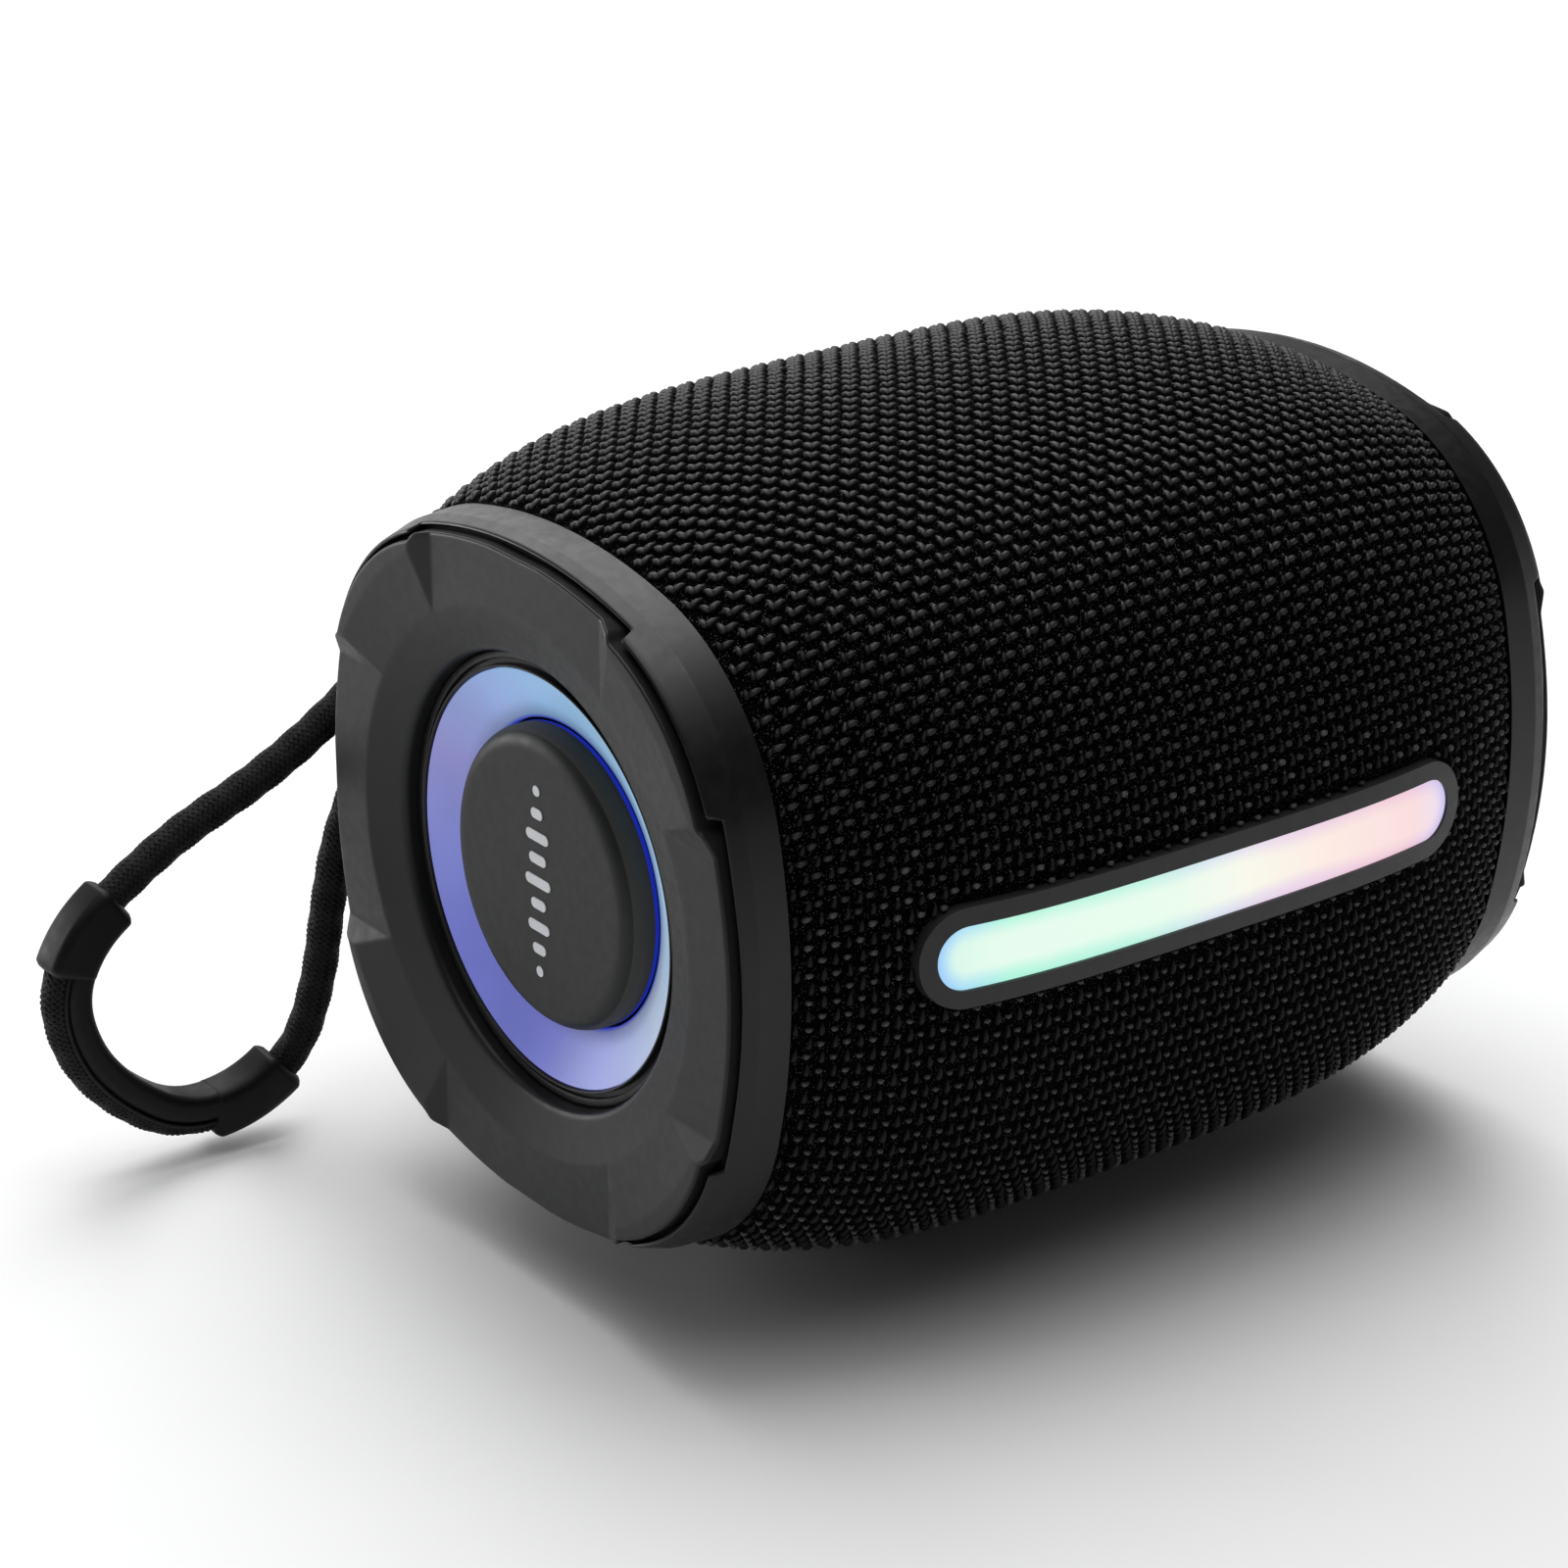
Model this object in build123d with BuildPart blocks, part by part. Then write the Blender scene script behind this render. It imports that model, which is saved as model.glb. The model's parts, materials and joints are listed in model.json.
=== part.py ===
from build123d import *
from math import sqrt, cos, sin, tan, radians, pi
import os

# Wireless barrel speaker, lying on its side on a rubber foot pad.
# Row frame: +X along the barrel towards the right end, +Y to the back (keys and
# hang loop), +Z up. Origin: middle of the foot pad's flat underside. Millimetres.

# ---------------------------------------------------------------- dimensions
AX = 47.0            # height of the barrel's axis over the foot's underside
HALF = 49.8          # half length of the cloth-covered barrel
R_END = 40.0         # mean radius of the barrel at the cloth's ends
SWELL = 0.1857       # relative swelling of the mean radius at the middle
SWELL_EXP = 3.49     # how flat the belly is before it falls to the ends
Q_MID, Q_END = 0.0284, 0.0405   # how square the section is, middle and ends
CLOTH = 1.2          # grille cloth with its foam backing
WALL = 2.2           # shell wall

BAR_X, BAR_Z = -0.8, 48.8        # light bar centre
BAR_L, BAR_H = 74.0, 11.1        # light bar bezel, outer
LENS_L, LENS_H = 70.0, 7.1       # light bar lens

PANEL_X, PANEL_Z = 6.5, 50.5     # control panel centre
PANEL_L, PANEL_H = 76.0, 15.0
KEY_X = (-25.0, -15.5, -6.0, 3.5, 13.0)
KEY_R = 3.7
KEY_TRAVEL = 0.6
BAY_X = 30.0                     # port bay centre

RING_TOP = 57.0      # end ring's merlons
CRENEL = 54.7        # end ring's notches
LAND = 57.9          # end bumper's outermost land
FLAT = 56.7          # end bumper's four flats
TAB = 15.6           # half width of a flat
NOTCH = 19.2         # half width of an end ring's notch
BORE = 25.0          # bumper's opening
GLOW_R = 22.0        # light ring outer radius
DISC_R = 16.7        # radiator plate radius
DISC_X = 54.4        # radiator plate face

CORD_D = 4.0
CORD = [(-46.0, 46.0, 54.2), (-51.0, 46.4, 50.0), (-60.6, 47.4, 44.0), (-70.0, 48.2, 40.1),
        (-77.6, 48.3, 35.7), (-83.9, 48.3, 31.2), (-87.1, 48.3, 24.4), (-85.4, 48.3, 16.4),
        (-80.6, 48.3, 9.9), (-73.2, 48.3, 4.4), (-64.4, 48.0, 4.5), (-56.9, 47.4, 9.2),
        (-53.9, 46.9, 17.8), (-52.6, 46.6, 27.0), (-50.6, 46.3, 36.4), (-46.0, 46.0, 45.6)]

os.makedirs("parts", exist_ok=True)
PIECES = {}


def keep(name, builder):
    """Label a finished piece and write it."""
    builder.part.label = name
    export_step(builder.part, "parts/" + name + ".step")
    PIECES[name] = builder.part
    return builder


# ---------------------------------------------------------------- the barrel's form
def mean_r(x):
    return R_END * (1 + SWELL * (1 - min(1.0, abs(x) / HALF) ** SWELL_EXP))


def squareness(x):
    u = min(1.0, abs(x) / HALF)
    return Q_MID + (Q_END - Q_MID) * u * u


def flat_r(x):
    return mean_r(x) * (1 - squareness(x))


def diag_r(x):
    return mean_r(x) * (1 + squareness(x))


def corner_r(x):
    u = min(1.0, abs(x) / HALF)
    return 34.0 - 8.0 * u * u


def rounded_square(a, b, rc, mode=Mode.ADD):
    """Eight tangent arcs: a is the half width over the flats, b over the corners."""
    c = (b - rc) / sqrt(2)
    d = (2 * c * c - (a - rc) ** 2) / (2 * (a - rc - c))
    big = a + d
    n = Vector(c, c + d).normalized()
    tx, ty = n.X * big, n.Y * big - d
    m = c + rc / sqrt(2)
    quad = [((-tx, ty), (0, a), (tx, ty)), ((tx, ty), (m, m), (ty, tx))]
    with BuildLine() as ring:
        for k in range(4):
            ca, sa = [(1, 0), (0, -1), (-1, 0), (0, 1)][k]
            for arc in quad:
                ThreePointArc(*[(x * ca - y * sa, x * sa + y * ca) for x, y in arc])
    make_face(ring.edges(), mode=mode)


def across(x):
    """Plane square to the barrel's axis; its x is +Y and its y is +Z."""
    return Plane(origin=(x, 0, AX), x_dir=(0, 1, 0), z_dir=(1, 0, 0))


def radial(s):
    """Half plane through the axis for end s: its x is |X| and its y is the radius."""
    return Plane(origin=(0, 0, AX), x_dir=(s, 0, 0), z_dir=(0, -s, 0))


BARREL_AXIS = Axis((0, 0, AX), (1, 0, 0))
STATIONS = (-49.8, -43.0, -33.0, -18.0, 0.0, 18.0, 33.0, 43.0, 49.8)


def barrel(t):
    """The barrel's form, t inside the cloth's outer surface."""
    with BuildPart() as form:
        for x in STATIONS:
            with BuildSketch(across(x)):
                rounded_square(flat_r(x) - t, diag_r(x) - t, corner_r(x) - t)
        loft()
    return form.part


def bar(plan, y0, y1):
    """Straight bar along Y from y0 to y1, of the outline that plan draws."""
    with BuildPart() as form:
        with BuildSketch(Plane.XZ.offset(-y0)):
            plan()
        extrude(amount=-(y1 - y0))
    return form.part


def pill(x, z, length, height):
    def plan():
        with Locations((x, z)):
            SlotOverall(length, height)
    return plan


def rounded(x, z, length, height, r):
    def plan():
        with Locations((x, z)):
            RectangleRounded(length, height, r)
    return plan


def disc(points, r):
    def plan():
        with Locations(*points):
            Circle(r)
    return plan


skin = barrel(0.0)                 # cloth outside
under = barrel(CLOTH)              # shell outside
inside = barrel(CLOTH + WALL)      # shell inside
proud = barrel(-0.7)               # bezel and panel outside
glass = barrel(-0.3)               # lens outside
depth = barrel(2.6)                # lens inside

bezel_out = bar(pill(BAR_X, BAR_Z, BAR_L, BAR_H), -60, -30)
lens_bar = bar(pill(BAR_X, BAR_Z, LENS_L, LENS_H), -60, -30)
panel_out = bar(pill(PANEL_X, PANEL_Z, PANEL_L, PANEL_H), 30, 60)
anchor_out = bar(rounded(-40.0, PANEL_Z, 11.6, 15.6, 3.0), 30, 48.6)

with BuildPart() as foot_block:
    with BuildSketch(Plane.XY):
        RectangleRounded(52, 24, 8)
    extrude(amount=12)

# ---------------------------------------------------------------- cloth and shells
with BuildPart() as grille_fabric:
    add(skin)
    add(under, mode=Mode.SUBTRACT)
    add(bezel_out, mode=Mode.SUBTRACT)
    add(panel_out, mode=Mode.SUBTRACT)
    add(anchor_out, mode=Mode.SUBTRACT)
    add(foot_block.part, mode=Mode.SUBTRACT)
keep("grille_fabric", grille_fabric)

SEAM = [(x, AX + z) for x in (-36.0, 36.0) for z in (-33.0, 33.0)]
END_BOSS = [(y, z) for y in (-25.0, 25.0) for z in (-25.0, 25.0)]


def shell(half):
    """Half of the clamshell: half is -1 in front and +1 behind."""
    with BuildPart() as form:
        add(under)
        add(inside, mode=Mode.SUBTRACT)
        # bosses for the seam's screws
        add(bar(disc(SEAM, 3.2), 0, half * 60) & under)
        # bosses for the end rings' screws
        for s in (-1, 1):
            with BuildSketch(across(s * 41.0)):
                with Locations(*END_BOSS):
                    Circle(3.0)
            extrude(amount=s * (HALF - 41.0))
            with BuildSketch(across(s * HALF)):
                with Locations(*END_BOSS):
                    Circle(1.0)
            extrude(amount=-s * 7.5, mode=Mode.SUBTRACT)
        # the driver's window in the roof
        with BuildSketch(Plane.XY.offset(AX + 30)):
            Circle(23.5)
        extrude(amount=30, mode=Mode.SUBTRACT)
        add(bar(lambda: Rectangle(300, 300), 0, -half * 80), mode=Mode.SUBTRACT)
        if half < 0:
            add(bar(disc(SEAM, 1.0), 0, -9.5), mode=Mode.SUBTRACT)
            add(lens_bar, mode=Mode.SUBTRACT)
        else:
            add(bar(disc(SEAM, 1.5), 0, 60), mode=Mode.SUBTRACT)
            add(bar(disc(SEAM, 2.6), 4, 60), mode=Mode.SUBTRACT)
            add(bar(disc([(x, PANEL_Z) for x in KEY_X], 4.8), 30, 60), mode=Mode.SUBTRACT)
            add(bar(rounded(BAY_X, PANEL_Z, 19.0, 10.6, 1.6), 30, 60), mode=Mode.SUBTRACT)
    return form


front = shell(-1)
rear = shell(1)

with BuildPart() as shell_seal:
    add(barrel(2.0))
    add(barrel(2.8), mode=Mode.SUBTRACT)
    add(bar(lambda: Rectangle(94, 300), -0.8, 0), mode=Mode.INTERSECT)
    with BuildSketch(Plane.XY.offset(AX + 30)):
        Circle(25)
    extrude(amount=30, mode=Mode.SUBTRACT)
keep("shell_seal", shell_seal)

with BuildPart() as shell_front:
    add(front.part)
    add(shell_seal.part, mode=Mode.SUBTRACT)
keep("shell_front", shell_front)
keep("shell_rear", rear)

with BuildPart() as shell_screws:
    with BuildSketch(Plane.XZ.offset(8.5)):
        with Locations(*SEAM):
            Circle(1.25)
    extrude(amount=-12.5)
    with BuildSketch(Plane.XZ.offset(-4.0)):
        with Locations(*SEAM):
            Circle(2.3)
    extrude(amount=-1.8)
    with BuildSketch(Plane.XZ.offset(-5.8)):
        with Locations(*SEAM):
            Rectangle(2.6, 0.6)
            Rectangle(0.6, 2.6)
    extrude(amount=0.9, mode=Mode.SUBTRACT)
keep("shell_screws", shell_screws)


# ---------------------------------------------------------------- the two ends
def cross(half_width):
    """Two crossing bars centred on the four flats."""
    Rectangle(2 * half_width, 120)
    Rectangle(120, 2 * half_width)


def end_ring(s):
    """Hard ring with a web behind the bumper and a notch over each flat."""
    with BuildPart() as form:
        for x, a, b, rc in ((HALF, 38.4, 41.6, 26.0), (53.6, 38.25, 41.3, 26.0), (RING_TOP, 37.3, 40.2, 25.5)):
            with BuildSketch(across(s * x)):
                rounded_square(a, b, rc)
        loft()
        with BuildSketch(across(s * 51.8)):
            rounded_square(36.2, 38.9, 24.5)
        extrude(amount=s * 10, mode=Mode.SUBTRACT)
        with BuildSketch(across(s * 49.0)):
            Circle(BORE)
        extrude(amount=s * 10, mode=Mode.SUBTRACT)
        with BuildSketch(across(s * CRENEL)):
            cross(NOTCH)
        extrude(amount=s * 10, mode=Mode.SUBTRACT)
        with BuildSketch(across(s * 49.0)):
            with Locations(*END_BOSS):
                Circle(1.5)
        extrude(amount=s * 10, mode=Mode.SUBTRACT)
        with BuildSketch(across(s * HALF)):
            rounded_square(38.4 - 1.3, 41.6 - 1.3, 24.7)
            rounded_square(38.4 - 3.3, 41.6 - 3.3, 22.7, mode=Mode.SUBTRACT)
        extrude(amount=s * 0.5, mode=Mode.SUBTRACT)
    return form


def end_seal(s):
    """Flat rubber ring between the shell's end and the end ring."""
    with BuildPart() as form:
        with BuildSketch(across(s * HALF)):
            rounded_square(38.4 - 1.35, 41.6 - 1.35, 24.65)
            rounded_square(38.4 - 3.25, 41.6 - 3.25, 22.75, mode=Mode.SUBTRACT)
        extrude(amount=s * 0.5)
    return form


def bumper(s):
    """Rubber end bumper: a shallow funnel with a land at its corners and four flats."""
    # body inside the ring, a lip that laps over the ring's inner edge, and a tab in each notch
    with BuildPart() as limit:
        with BuildSketch(across(s * 51.8)):
            rounded_square(36.15, 38.85, 24.45)
        extrude(amount=s * 7)
        with BuildSketch(across(s * RING_TOP)):
            rounded_square(36.5, 39.2, 24.8)
        extrude(amount=s * 1.0)
        with BuildSketch(across(s * CRENEL)):
            cross(NOTCH - 0.1)
        extrude(amount=s * (FLAT - CRENEL))
    with BuildPart() as flush:
        for x, a, b, rc in ((51.8, 38.3, 41.4, 26.0), (54.7, 38.0, 41.0, 26.0), (58.2, 36.9, 39.8, 25.3)):
            with BuildSketch(across(s * x)):
                rounded_square(a - 0.5, b - 0.5, rc - 0.5)
        loft()
    with BuildPart() as form:
        with BuildSketch(radial(s)):
            with BuildLine():
                Polyline((51.8, BORE), (54.7, BORE), (55.2, BORE + 0.35), (56.7, 30.4), (57.5, 35.0),
                         (LAND, 37.2), (LAND, 45.0), (51.8, 45.0), (51.8, BORE))
            make_face()
        revolve(axis=BARREL_AXIS)
        add(limit.part & flush.part, mode=Mode.INTERSECT)
        # four flats with sloping end walls
        with BuildSketch(across(s * FLAT)):
            cross(TAB)
        extrude(amount=s * 1.6, taper=-67, mode=Mode.SUBTRACT)
        # pockets over the screw heads
        with BuildSketch(across(s * 51.8)):
            with Locations(*END_BOSS):
                Circle(2.9)
        extrude(amount=s * 2.0, mode=Mode.SUBTRACT)
    return form


def radiator_frame(s):
    """Tube with a flange behind the web; it carries the light ring and the surround."""
    with BuildPart() as form:
        with BuildSketch(radial(s)):
            with BuildLine():
                Polyline((44.0, 23.0), (51.0, 23.0), (51.0, GLOW_R + 0.1), (53.9, GLOW_R + 0.1), (53.9, 22.9),
                         (52.9, 23.1), (52.9, 23.9), (53.5, 24.0), (53.5, 24.7), (53.2, 24.95), (HALF, 24.95),
                         (HALF, 29.5), (48.0, 29.5), (48.0, 24.95), (44.0, 24.95), (44.0, 23.0))
            make_face()
        revolve(axis=BARREL_AXIS)
    return form


def light_ring(s):
    """Translucent ring, dished towards the plate."""
    with BuildPart() as form:
        with BuildSketch(radial(s)):
            with BuildLine():
                Polyline((49.9, 17.0), (49.9, 22.95), (50.9, 22.95), (50.9, GLOW_R), (53.6, GLOW_R))
                ThreePointArc((53.6, GLOW_R), (51.8, 19.7), (50.7, 17.0))
                Line((50.7, 17.0), (49.9, 17.0))
            make_face()
        revolve(axis=BARREL_AXIS)
    return form


def ring_led_board(s):
    """Annular board with eight light-emitting diodes."""
    with BuildPart() as form:
        with BuildSketch(across(s * 47.4)):
            Circle(22.9)
            Circle(17.6, mode=Mode.SUBTRACT)
        extrude(amount=s * 1.2)
        with BuildSketch(across(s * 48.6)):
            with PolarLocations(20.3, 8):
                Rectangle(3.4, 3.4)
        extrude(amount=s * 1.0)
    return form


def radiator_plate(s):
    """Passive radiator: thick face plate with a rounded edge, stem and carrier plate."""
    with BuildPart() as form:
        with BuildSketch(radial(s)):
            with BuildLine():
                Polyline((44.6, 0), (44.6, 14.0), (46.0, 14.0), (46.0, 9.0), (50.6, 9.0), (50.6, DISC_R),
                         (DISC_X - 1.5, DISC_R))
                ThreePointArc((DISC_X - 1.5, DISC_R), (DISC_X - 0.44, DISC_R - 0.44), (DISC_X, DISC_R - 1.5))
                Polyline((DISC_X, DISC_R - 1.5), (DISC_X, 0), (44.6, 0))
            make_face()
        revolve(axis=BARREL_AXIS)
    return form


def radiator_surround(s):
    """Soft half roll between the frame and the moving carrier plate."""
    with BuildPart() as form:
        with BuildSketch(radial(s)):
            with BuildLine():
                Polyline((44.9, 14.4), (44.9, 15.6))
                ThreePointArc((44.9, 15.6), (42.3, 18.6), (44.9, 21.6))
                Polyline((44.9, 21.6), (44.9, 23.0), (45.6, 23.0), (45.6, 21.2))
                ThreePointArc((45.6, 21.2), (43.1, 18.6), (45.6, 16.0))
                Polyline((45.6, 16.0), (45.6, 14.4), (44.9, 14.4))
            make_face()
        revolve(axis=BARREL_AXIS)
    return form


for s, side in ((-1, "left"), (1, "right")):
    keep(side + "_end_ring", end_ring(s))
    keep(side + "_end_seal", end_seal(s))
    keep(side + "_bumper", bumper(s))
    keep(side + "_radiator_frame", radiator_frame(s))
    keep(side + "_light_ring", light_ring(s))
    keep(side + "_ring_led_board", ring_led_board(s))
    keep(side + "_radiator_plate", radiator_plate(s))
    keep(side + "_radiator_surround", radiator_surround(s))

with BuildPart() as end_cap_screws:
    for s in (-1, 1):
        with BuildSketch(across(s * 43.5)):
            with Locations(*END_BOSS):
                Circle(1.25)
        extrude(amount=s * 8.3)
        with BuildSketch(across(s * 51.8)):
            with Locations(*END_BOSS):
                Circle(2.4)
        extrude(amount=s * 1.6)
        with BuildSketch(across(s * 53.4)):
            with Locations(*END_BOSS):
                Rectangle(2.8, 0.6)
                Rectangle(0.6, 2.8)
        extrude(amount=-s * 0.8, mode=Mode.SUBTRACT)
keep("end_cap_screws", end_cap_screws)

# ---------------------------------------------------------------- light bar
with BuildPart() as light_bar_bezel:
    add(bezel_out)
    add(proud, mode=Mode.INTERSECT)
    add(under, mode=Mode.SUBTRACT)
    add(lens_bar, mode=Mode.SUBTRACT)
keep("light_bar_bezel", light_bar_bezel)

with BuildPart() as light_bar_lens:
    add(lens_bar)
    add(glass, mode=Mode.INTERSECT)
    add(depth, mode=Mode.SUBTRACT)
keep("light_bar_lens", light_bar_lens)

with BuildPart() as light_bar_led_board:
    with BuildSketch(Plane.XZ.offset(36.4)):
        with Locations((BAR_X, BAR_Z)):
            RectangleRounded(66, 8, 1)
    extrude(amount=1.2)
    with BuildSketch(Plane.XZ.offset(37.6)):
        with Locations(*[(BAR_X + 11.0 * k, BAR_Z) for k in (-2.5, -1.5, -0.5, 0.5, 1.5, 2.5)]):
            Rectangle(5, 5)
    extrude(amount=1.4)
keep("light_bar_led_board", light_bar_led_board)

# ---------------------------------------------------------------- full-range driver
UP = Axis((0, 0, 0), (0, 0, 1))


def turned(points):
    """Ring of revolution about the driver's axis, from (radius, height over the axis) points."""
    with BuildPart() as form:
        with BuildSketch(Plane.XZ):
            with BuildLine():
                Polyline(*[(r, AX + z) for r, z in points], close=True)
            make_face()
        revolve(axis=UP)
    return form


with BuildPart() as driver_guard:
    with BuildSketch(Plane.XY.offset(AX + 39.4)):
        Circle(23.4)
    extrude(amount=0.8)
    with BuildSketch(Plane.XY.offset(AX + 39.0)):
        Circle(1.1)
        with PolarLocations(5.0, 6):
            Circle(1.1)
        with PolarLocations(10.0, 12):
            Circle(1.1)
        with PolarLocations(15.0, 18):
            Circle(1.1)
        with PolarLocations(20.0, 24):
            Circle(1.1)
    extrude(amount=2, mode=Mode.SUBTRACT)
keep("driver_guard", driver_guard)

with BuildPart() as driver_baffle:
    with BuildSketch(Plane.XY.offset(AX + 34.5)):
        Circle(27.5)
        Circle(23.5, mode=Mode.SUBTRACT)
    extrude(amount=20)
    add(inside, mode=Mode.INTERSECT)
keep("driver_baffle", driver_baffle)

keep("driver_gasket", turned([(23.5, 33.7), (27.0, 33.7), (27.0, 34.5), (23.5, 34.5)]))

basket = turned([(6.9, 18.6), (17.0, 18.6), (22.4, 31.2), (22.4, 32.5), (27.0, 32.5), (27.0, 33.7),
                 (21.4, 33.7), (21.4, 31.6), (16.1, 19.8), (6.9, 19.8)])
with BuildPart() as driver_basket:
    add(basket.part)
    for k in range(4):
        turn = Plane.XY.rotated((0, 0, 45 + 90 * k)).offset(AX + 21.0)
        with BuildSketch(turn):
            with Locations((20, 0)):
                Rectangle(16, 13)
        extrude(amount=9.2, mode=Mode.SUBTRACT)
keep("driver_basket", driver_basket)

keep("driver_top_plate", turned([(6.9, 16.6), (14.5, 16.6), (14.5, 18.6), (6.9, 18.6)]))
keep("driver_magnet", turned([(8.5, 9.6), (16.0, 9.6), (16.0, 16.6), (8.5, 16.6)]))
keep("driver_yoke", turned([(0, 7.2), (15.0, 7.2), (15.0, 9.6), (5.4, 9.6), (5.4, 18.4), (0, 18.4)]))
keep("driver_cone", turned([(0, 27.4), (3.5, 27.0), (6.6, 25.6), (7.2, 25.4), (19.6, 32.0), (19.9, 31.5),
                            (7.0, 24.4), (6.3, 24.0), (6.3, 13.0), (5.9, 13.0), (5.9, 24.9), (3.3, 26.3),
                            (0, 26.7)]))
keep("driver_surround", turned([(20.2, 31.8), (20.7, 32.6), (21.3, 33.7), (22.0, 34.5), (22.8, 34.9), (23.4, 34.6),
                                (23.4, 33.75), (21.35, 33.75), (21.2, 33.0), (20.7, 31.5)]))
keep("driver_spider", turned([(6.7, 21.6), (8.2, 22.3), (9.7, 21.6), (11.2, 22.3), (12.7, 21.6), (14.2, 22.3),
                              (15.4, 21.7), (16.6, 21.7), (16.6, 21.2), (15.3, 21.2), (14.2, 21.8),
                              (12.7, 21.1), (11.2, 21.8), (9.7, 21.1), (8.2, 21.8), (6.7, 21.1)]))

# ---------------------------------------------------------------- power and boards
with BuildPart() as battery_cell:
    with BuildSketch(across(-32.5)):
        with Locations((0, -27.5)):
            Circle(9.2)
    extrude(amount=65)
    with BuildSketch(across(32.5)):
        with Locations((0, -27.5)):
            Circle(3.0)
    extrude(amount=0.8)
    fillet(battery_cell.edges().filter_by(GeomType.CIRCLE).sort_by(Axis.X)[0], 0.8)
keep("battery_cell", battery_cell)

with BuildPart() as battery_holder:
    with BuildSketch(Plane.XY.offset(AX - 45.0)):
        Rectangle(64.6, 23)
    extrude(amount=18.0)
    add(inside, mode=Mode.INTERSECT)
    with BuildSketch(across(-33.4)):
        with Locations((0, -27.5)):
            Circle(9.3)
    extrude(amount=66.8, mode=Mode.SUBTRACT)
keep("battery_holder", battery_holder)

with BuildPart() as main_board:
    with BuildSketch(Plane.XY.offset(AX - 9.6)):
        RectangleRounded(72, 44, 2)
    extrude(amount=1.6)
    with BuildSketch(Plane.XY.offset(AX - 8.0)):
        with Locations((-24, -10)):
            Rectangle(7, 7)
        with Locations((22, -12)):
            Rectangle(9, 9)
        with Locations((-24, 10)):
            Rectangle(12, 5)
    extrude(amount=1.4)
    with BuildSketch(Plane.XY.offset(AX - 8.0)):
        with Locations((26, 8), (30, -18), (-31, -18)):
            Circle(2.5)
    extrude(amount=6.0)
keep("main_board", main_board)

with BuildPart() as port_board:
    with BuildSketch(Plane.XY.offset(AX + 2.55)):
        with Locations((BAY_X, 25.5)):
            Rectangle(20, 17.5)
    extrude(amount=0.75)
keep("port_board", port_board)

with BuildPart() as usb_c_port:
    with BuildSketch(Plane.XZ.offset(-28.2)):
        with Locations((BAY_X, AX + 4.95)):
            SlotOverall(8.9, 3.3)
    extrude(amount=-7.4)
    with BuildSketch(Plane.XZ.offset(-29.2)):
        with Locations((BAY_X, AX + 4.95)):
            SlotOverall(8.3, 2.6)
    extrude(amount=-6.4, mode=Mode.SUBTRACT)
    with BuildSketch(Plane.XZ.offset(-29.2)):
        with Locations((BAY_X, AX + 4.95)):
            Rectangle(6.6, 0.7)
    extrude(amount=-5.2)
keep("usb_c_port", usb_c_port)

with BuildPart() as card_slot:
    with BuildSketch(Plane.XZ.offset(-20.6)):
        with Locations((BAY_X, AX + 1.6)):
            Rectangle(12.6, 1.9)
    extrude(amount=-15.0)
    with BuildSketch(Plane.XZ.offset(-21.6)):
        with Locations((BAY_X, AX + 1.6)):
            Rectangle(11.2, 1.1)
    extrude(amount=-14.0, mode=Mode.SUBTRACT)
keep("card_slot", card_slot)

with BuildPart() as key_board:
    with BuildSketch(Plane.XZ.offset(-35.4)):
        with Locations((-6.2, PANEL_Z)):
            RectangleRounded(48, 10, 1)
    extrude(amount=-1.6)
keep("key_board", key_board)

with BuildPart() as microphone:
    with BuildSketch(Plane.XZ.offset(-33.9)):
        with Locations((-20.2, PANEL_Z)):
            Circle(2.0)
    extrude(amount=-1.5)
keep("microphone", microphone)

with BuildPart() as tact_switches:
    for x in KEY_X:
        top = flat_r(x) - 5.4 - KEY_TRAVEL - 0.05
        with BuildSketch(Plane.XZ.offset(-37.0)):
            with Locations((x, PANEL_Z)):
                Rectangle(6, 6)
        extrude(amount=-1.6)
        with BuildSketch(Plane.XZ.offset(-38.6)):
            with Locations((x, PANEL_Z)):
                Circle(1.7)
        extrude(amount=-(top - 38.6))
keep("tact_switches", tact_switches)

# ---------------------------------------------------------------- rear controls
FLAP_X0, FLAP_X1 = 21.4, 39.0       # free edge and hinge line of the port flap
FLAP_H = 9.0
FLAP_Y = flat_r(FLAP_X1) + 0.2 - 0.25

with BuildPart() as control_panel:
    add(panel_out)
    add(proud, mode=Mode.INTERSECT)
    add(under, mode=Mode.SUBTRACT)
    add(bar(disc([(x, PANEL_Z) for x in KEY_X], KEY_R + 0.3), 30, 60), mode=Mode.SUBTRACT)
    add(bar(rounded((FLAP_X0 - 0.3 + FLAP_X1 + 1.3) / 2, PANEL_Z, FLAP_X1 - FLAP_X0 + 1.6, FLAP_H + 0.6, 1.0), 30, 60),
        mode=Mode.SUBTRACT)
keep("control_panel", control_panel)

for name, x in zip(("power_button", "minus_button", "play_button", "plus_button", "mode_button"), KEY_X):
    top = flat_r(x) + 1.5
    with BuildPart() as key:
        with BuildSketch(Plane.XZ.offset(-(flat_r(x) - 2.9))):
            with Locations((x, PANEL_Z)):
                Circle(KEY_R)
        extrude(amount=-(top - flat_r(x) + 2.9))
        fillet(key.faces().sort_by(Axis.Y)[-1].edges(), 0.7)
        with BuildSketch(Plane.XZ.offset(-(flat_r(x) - 2.9))):
            with Locations((x, PANEL_Z)):
                Circle(4.5)
        extrude(amount=-0.9)
        with BuildSketch(Plane.XZ.offset(-(flat_r(x) - 5.4))):
            with Locations((x, PANEL_Z)):
                Circle(2.0)
        extrude(amount=-2.6)
    keep(name, key)

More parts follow.
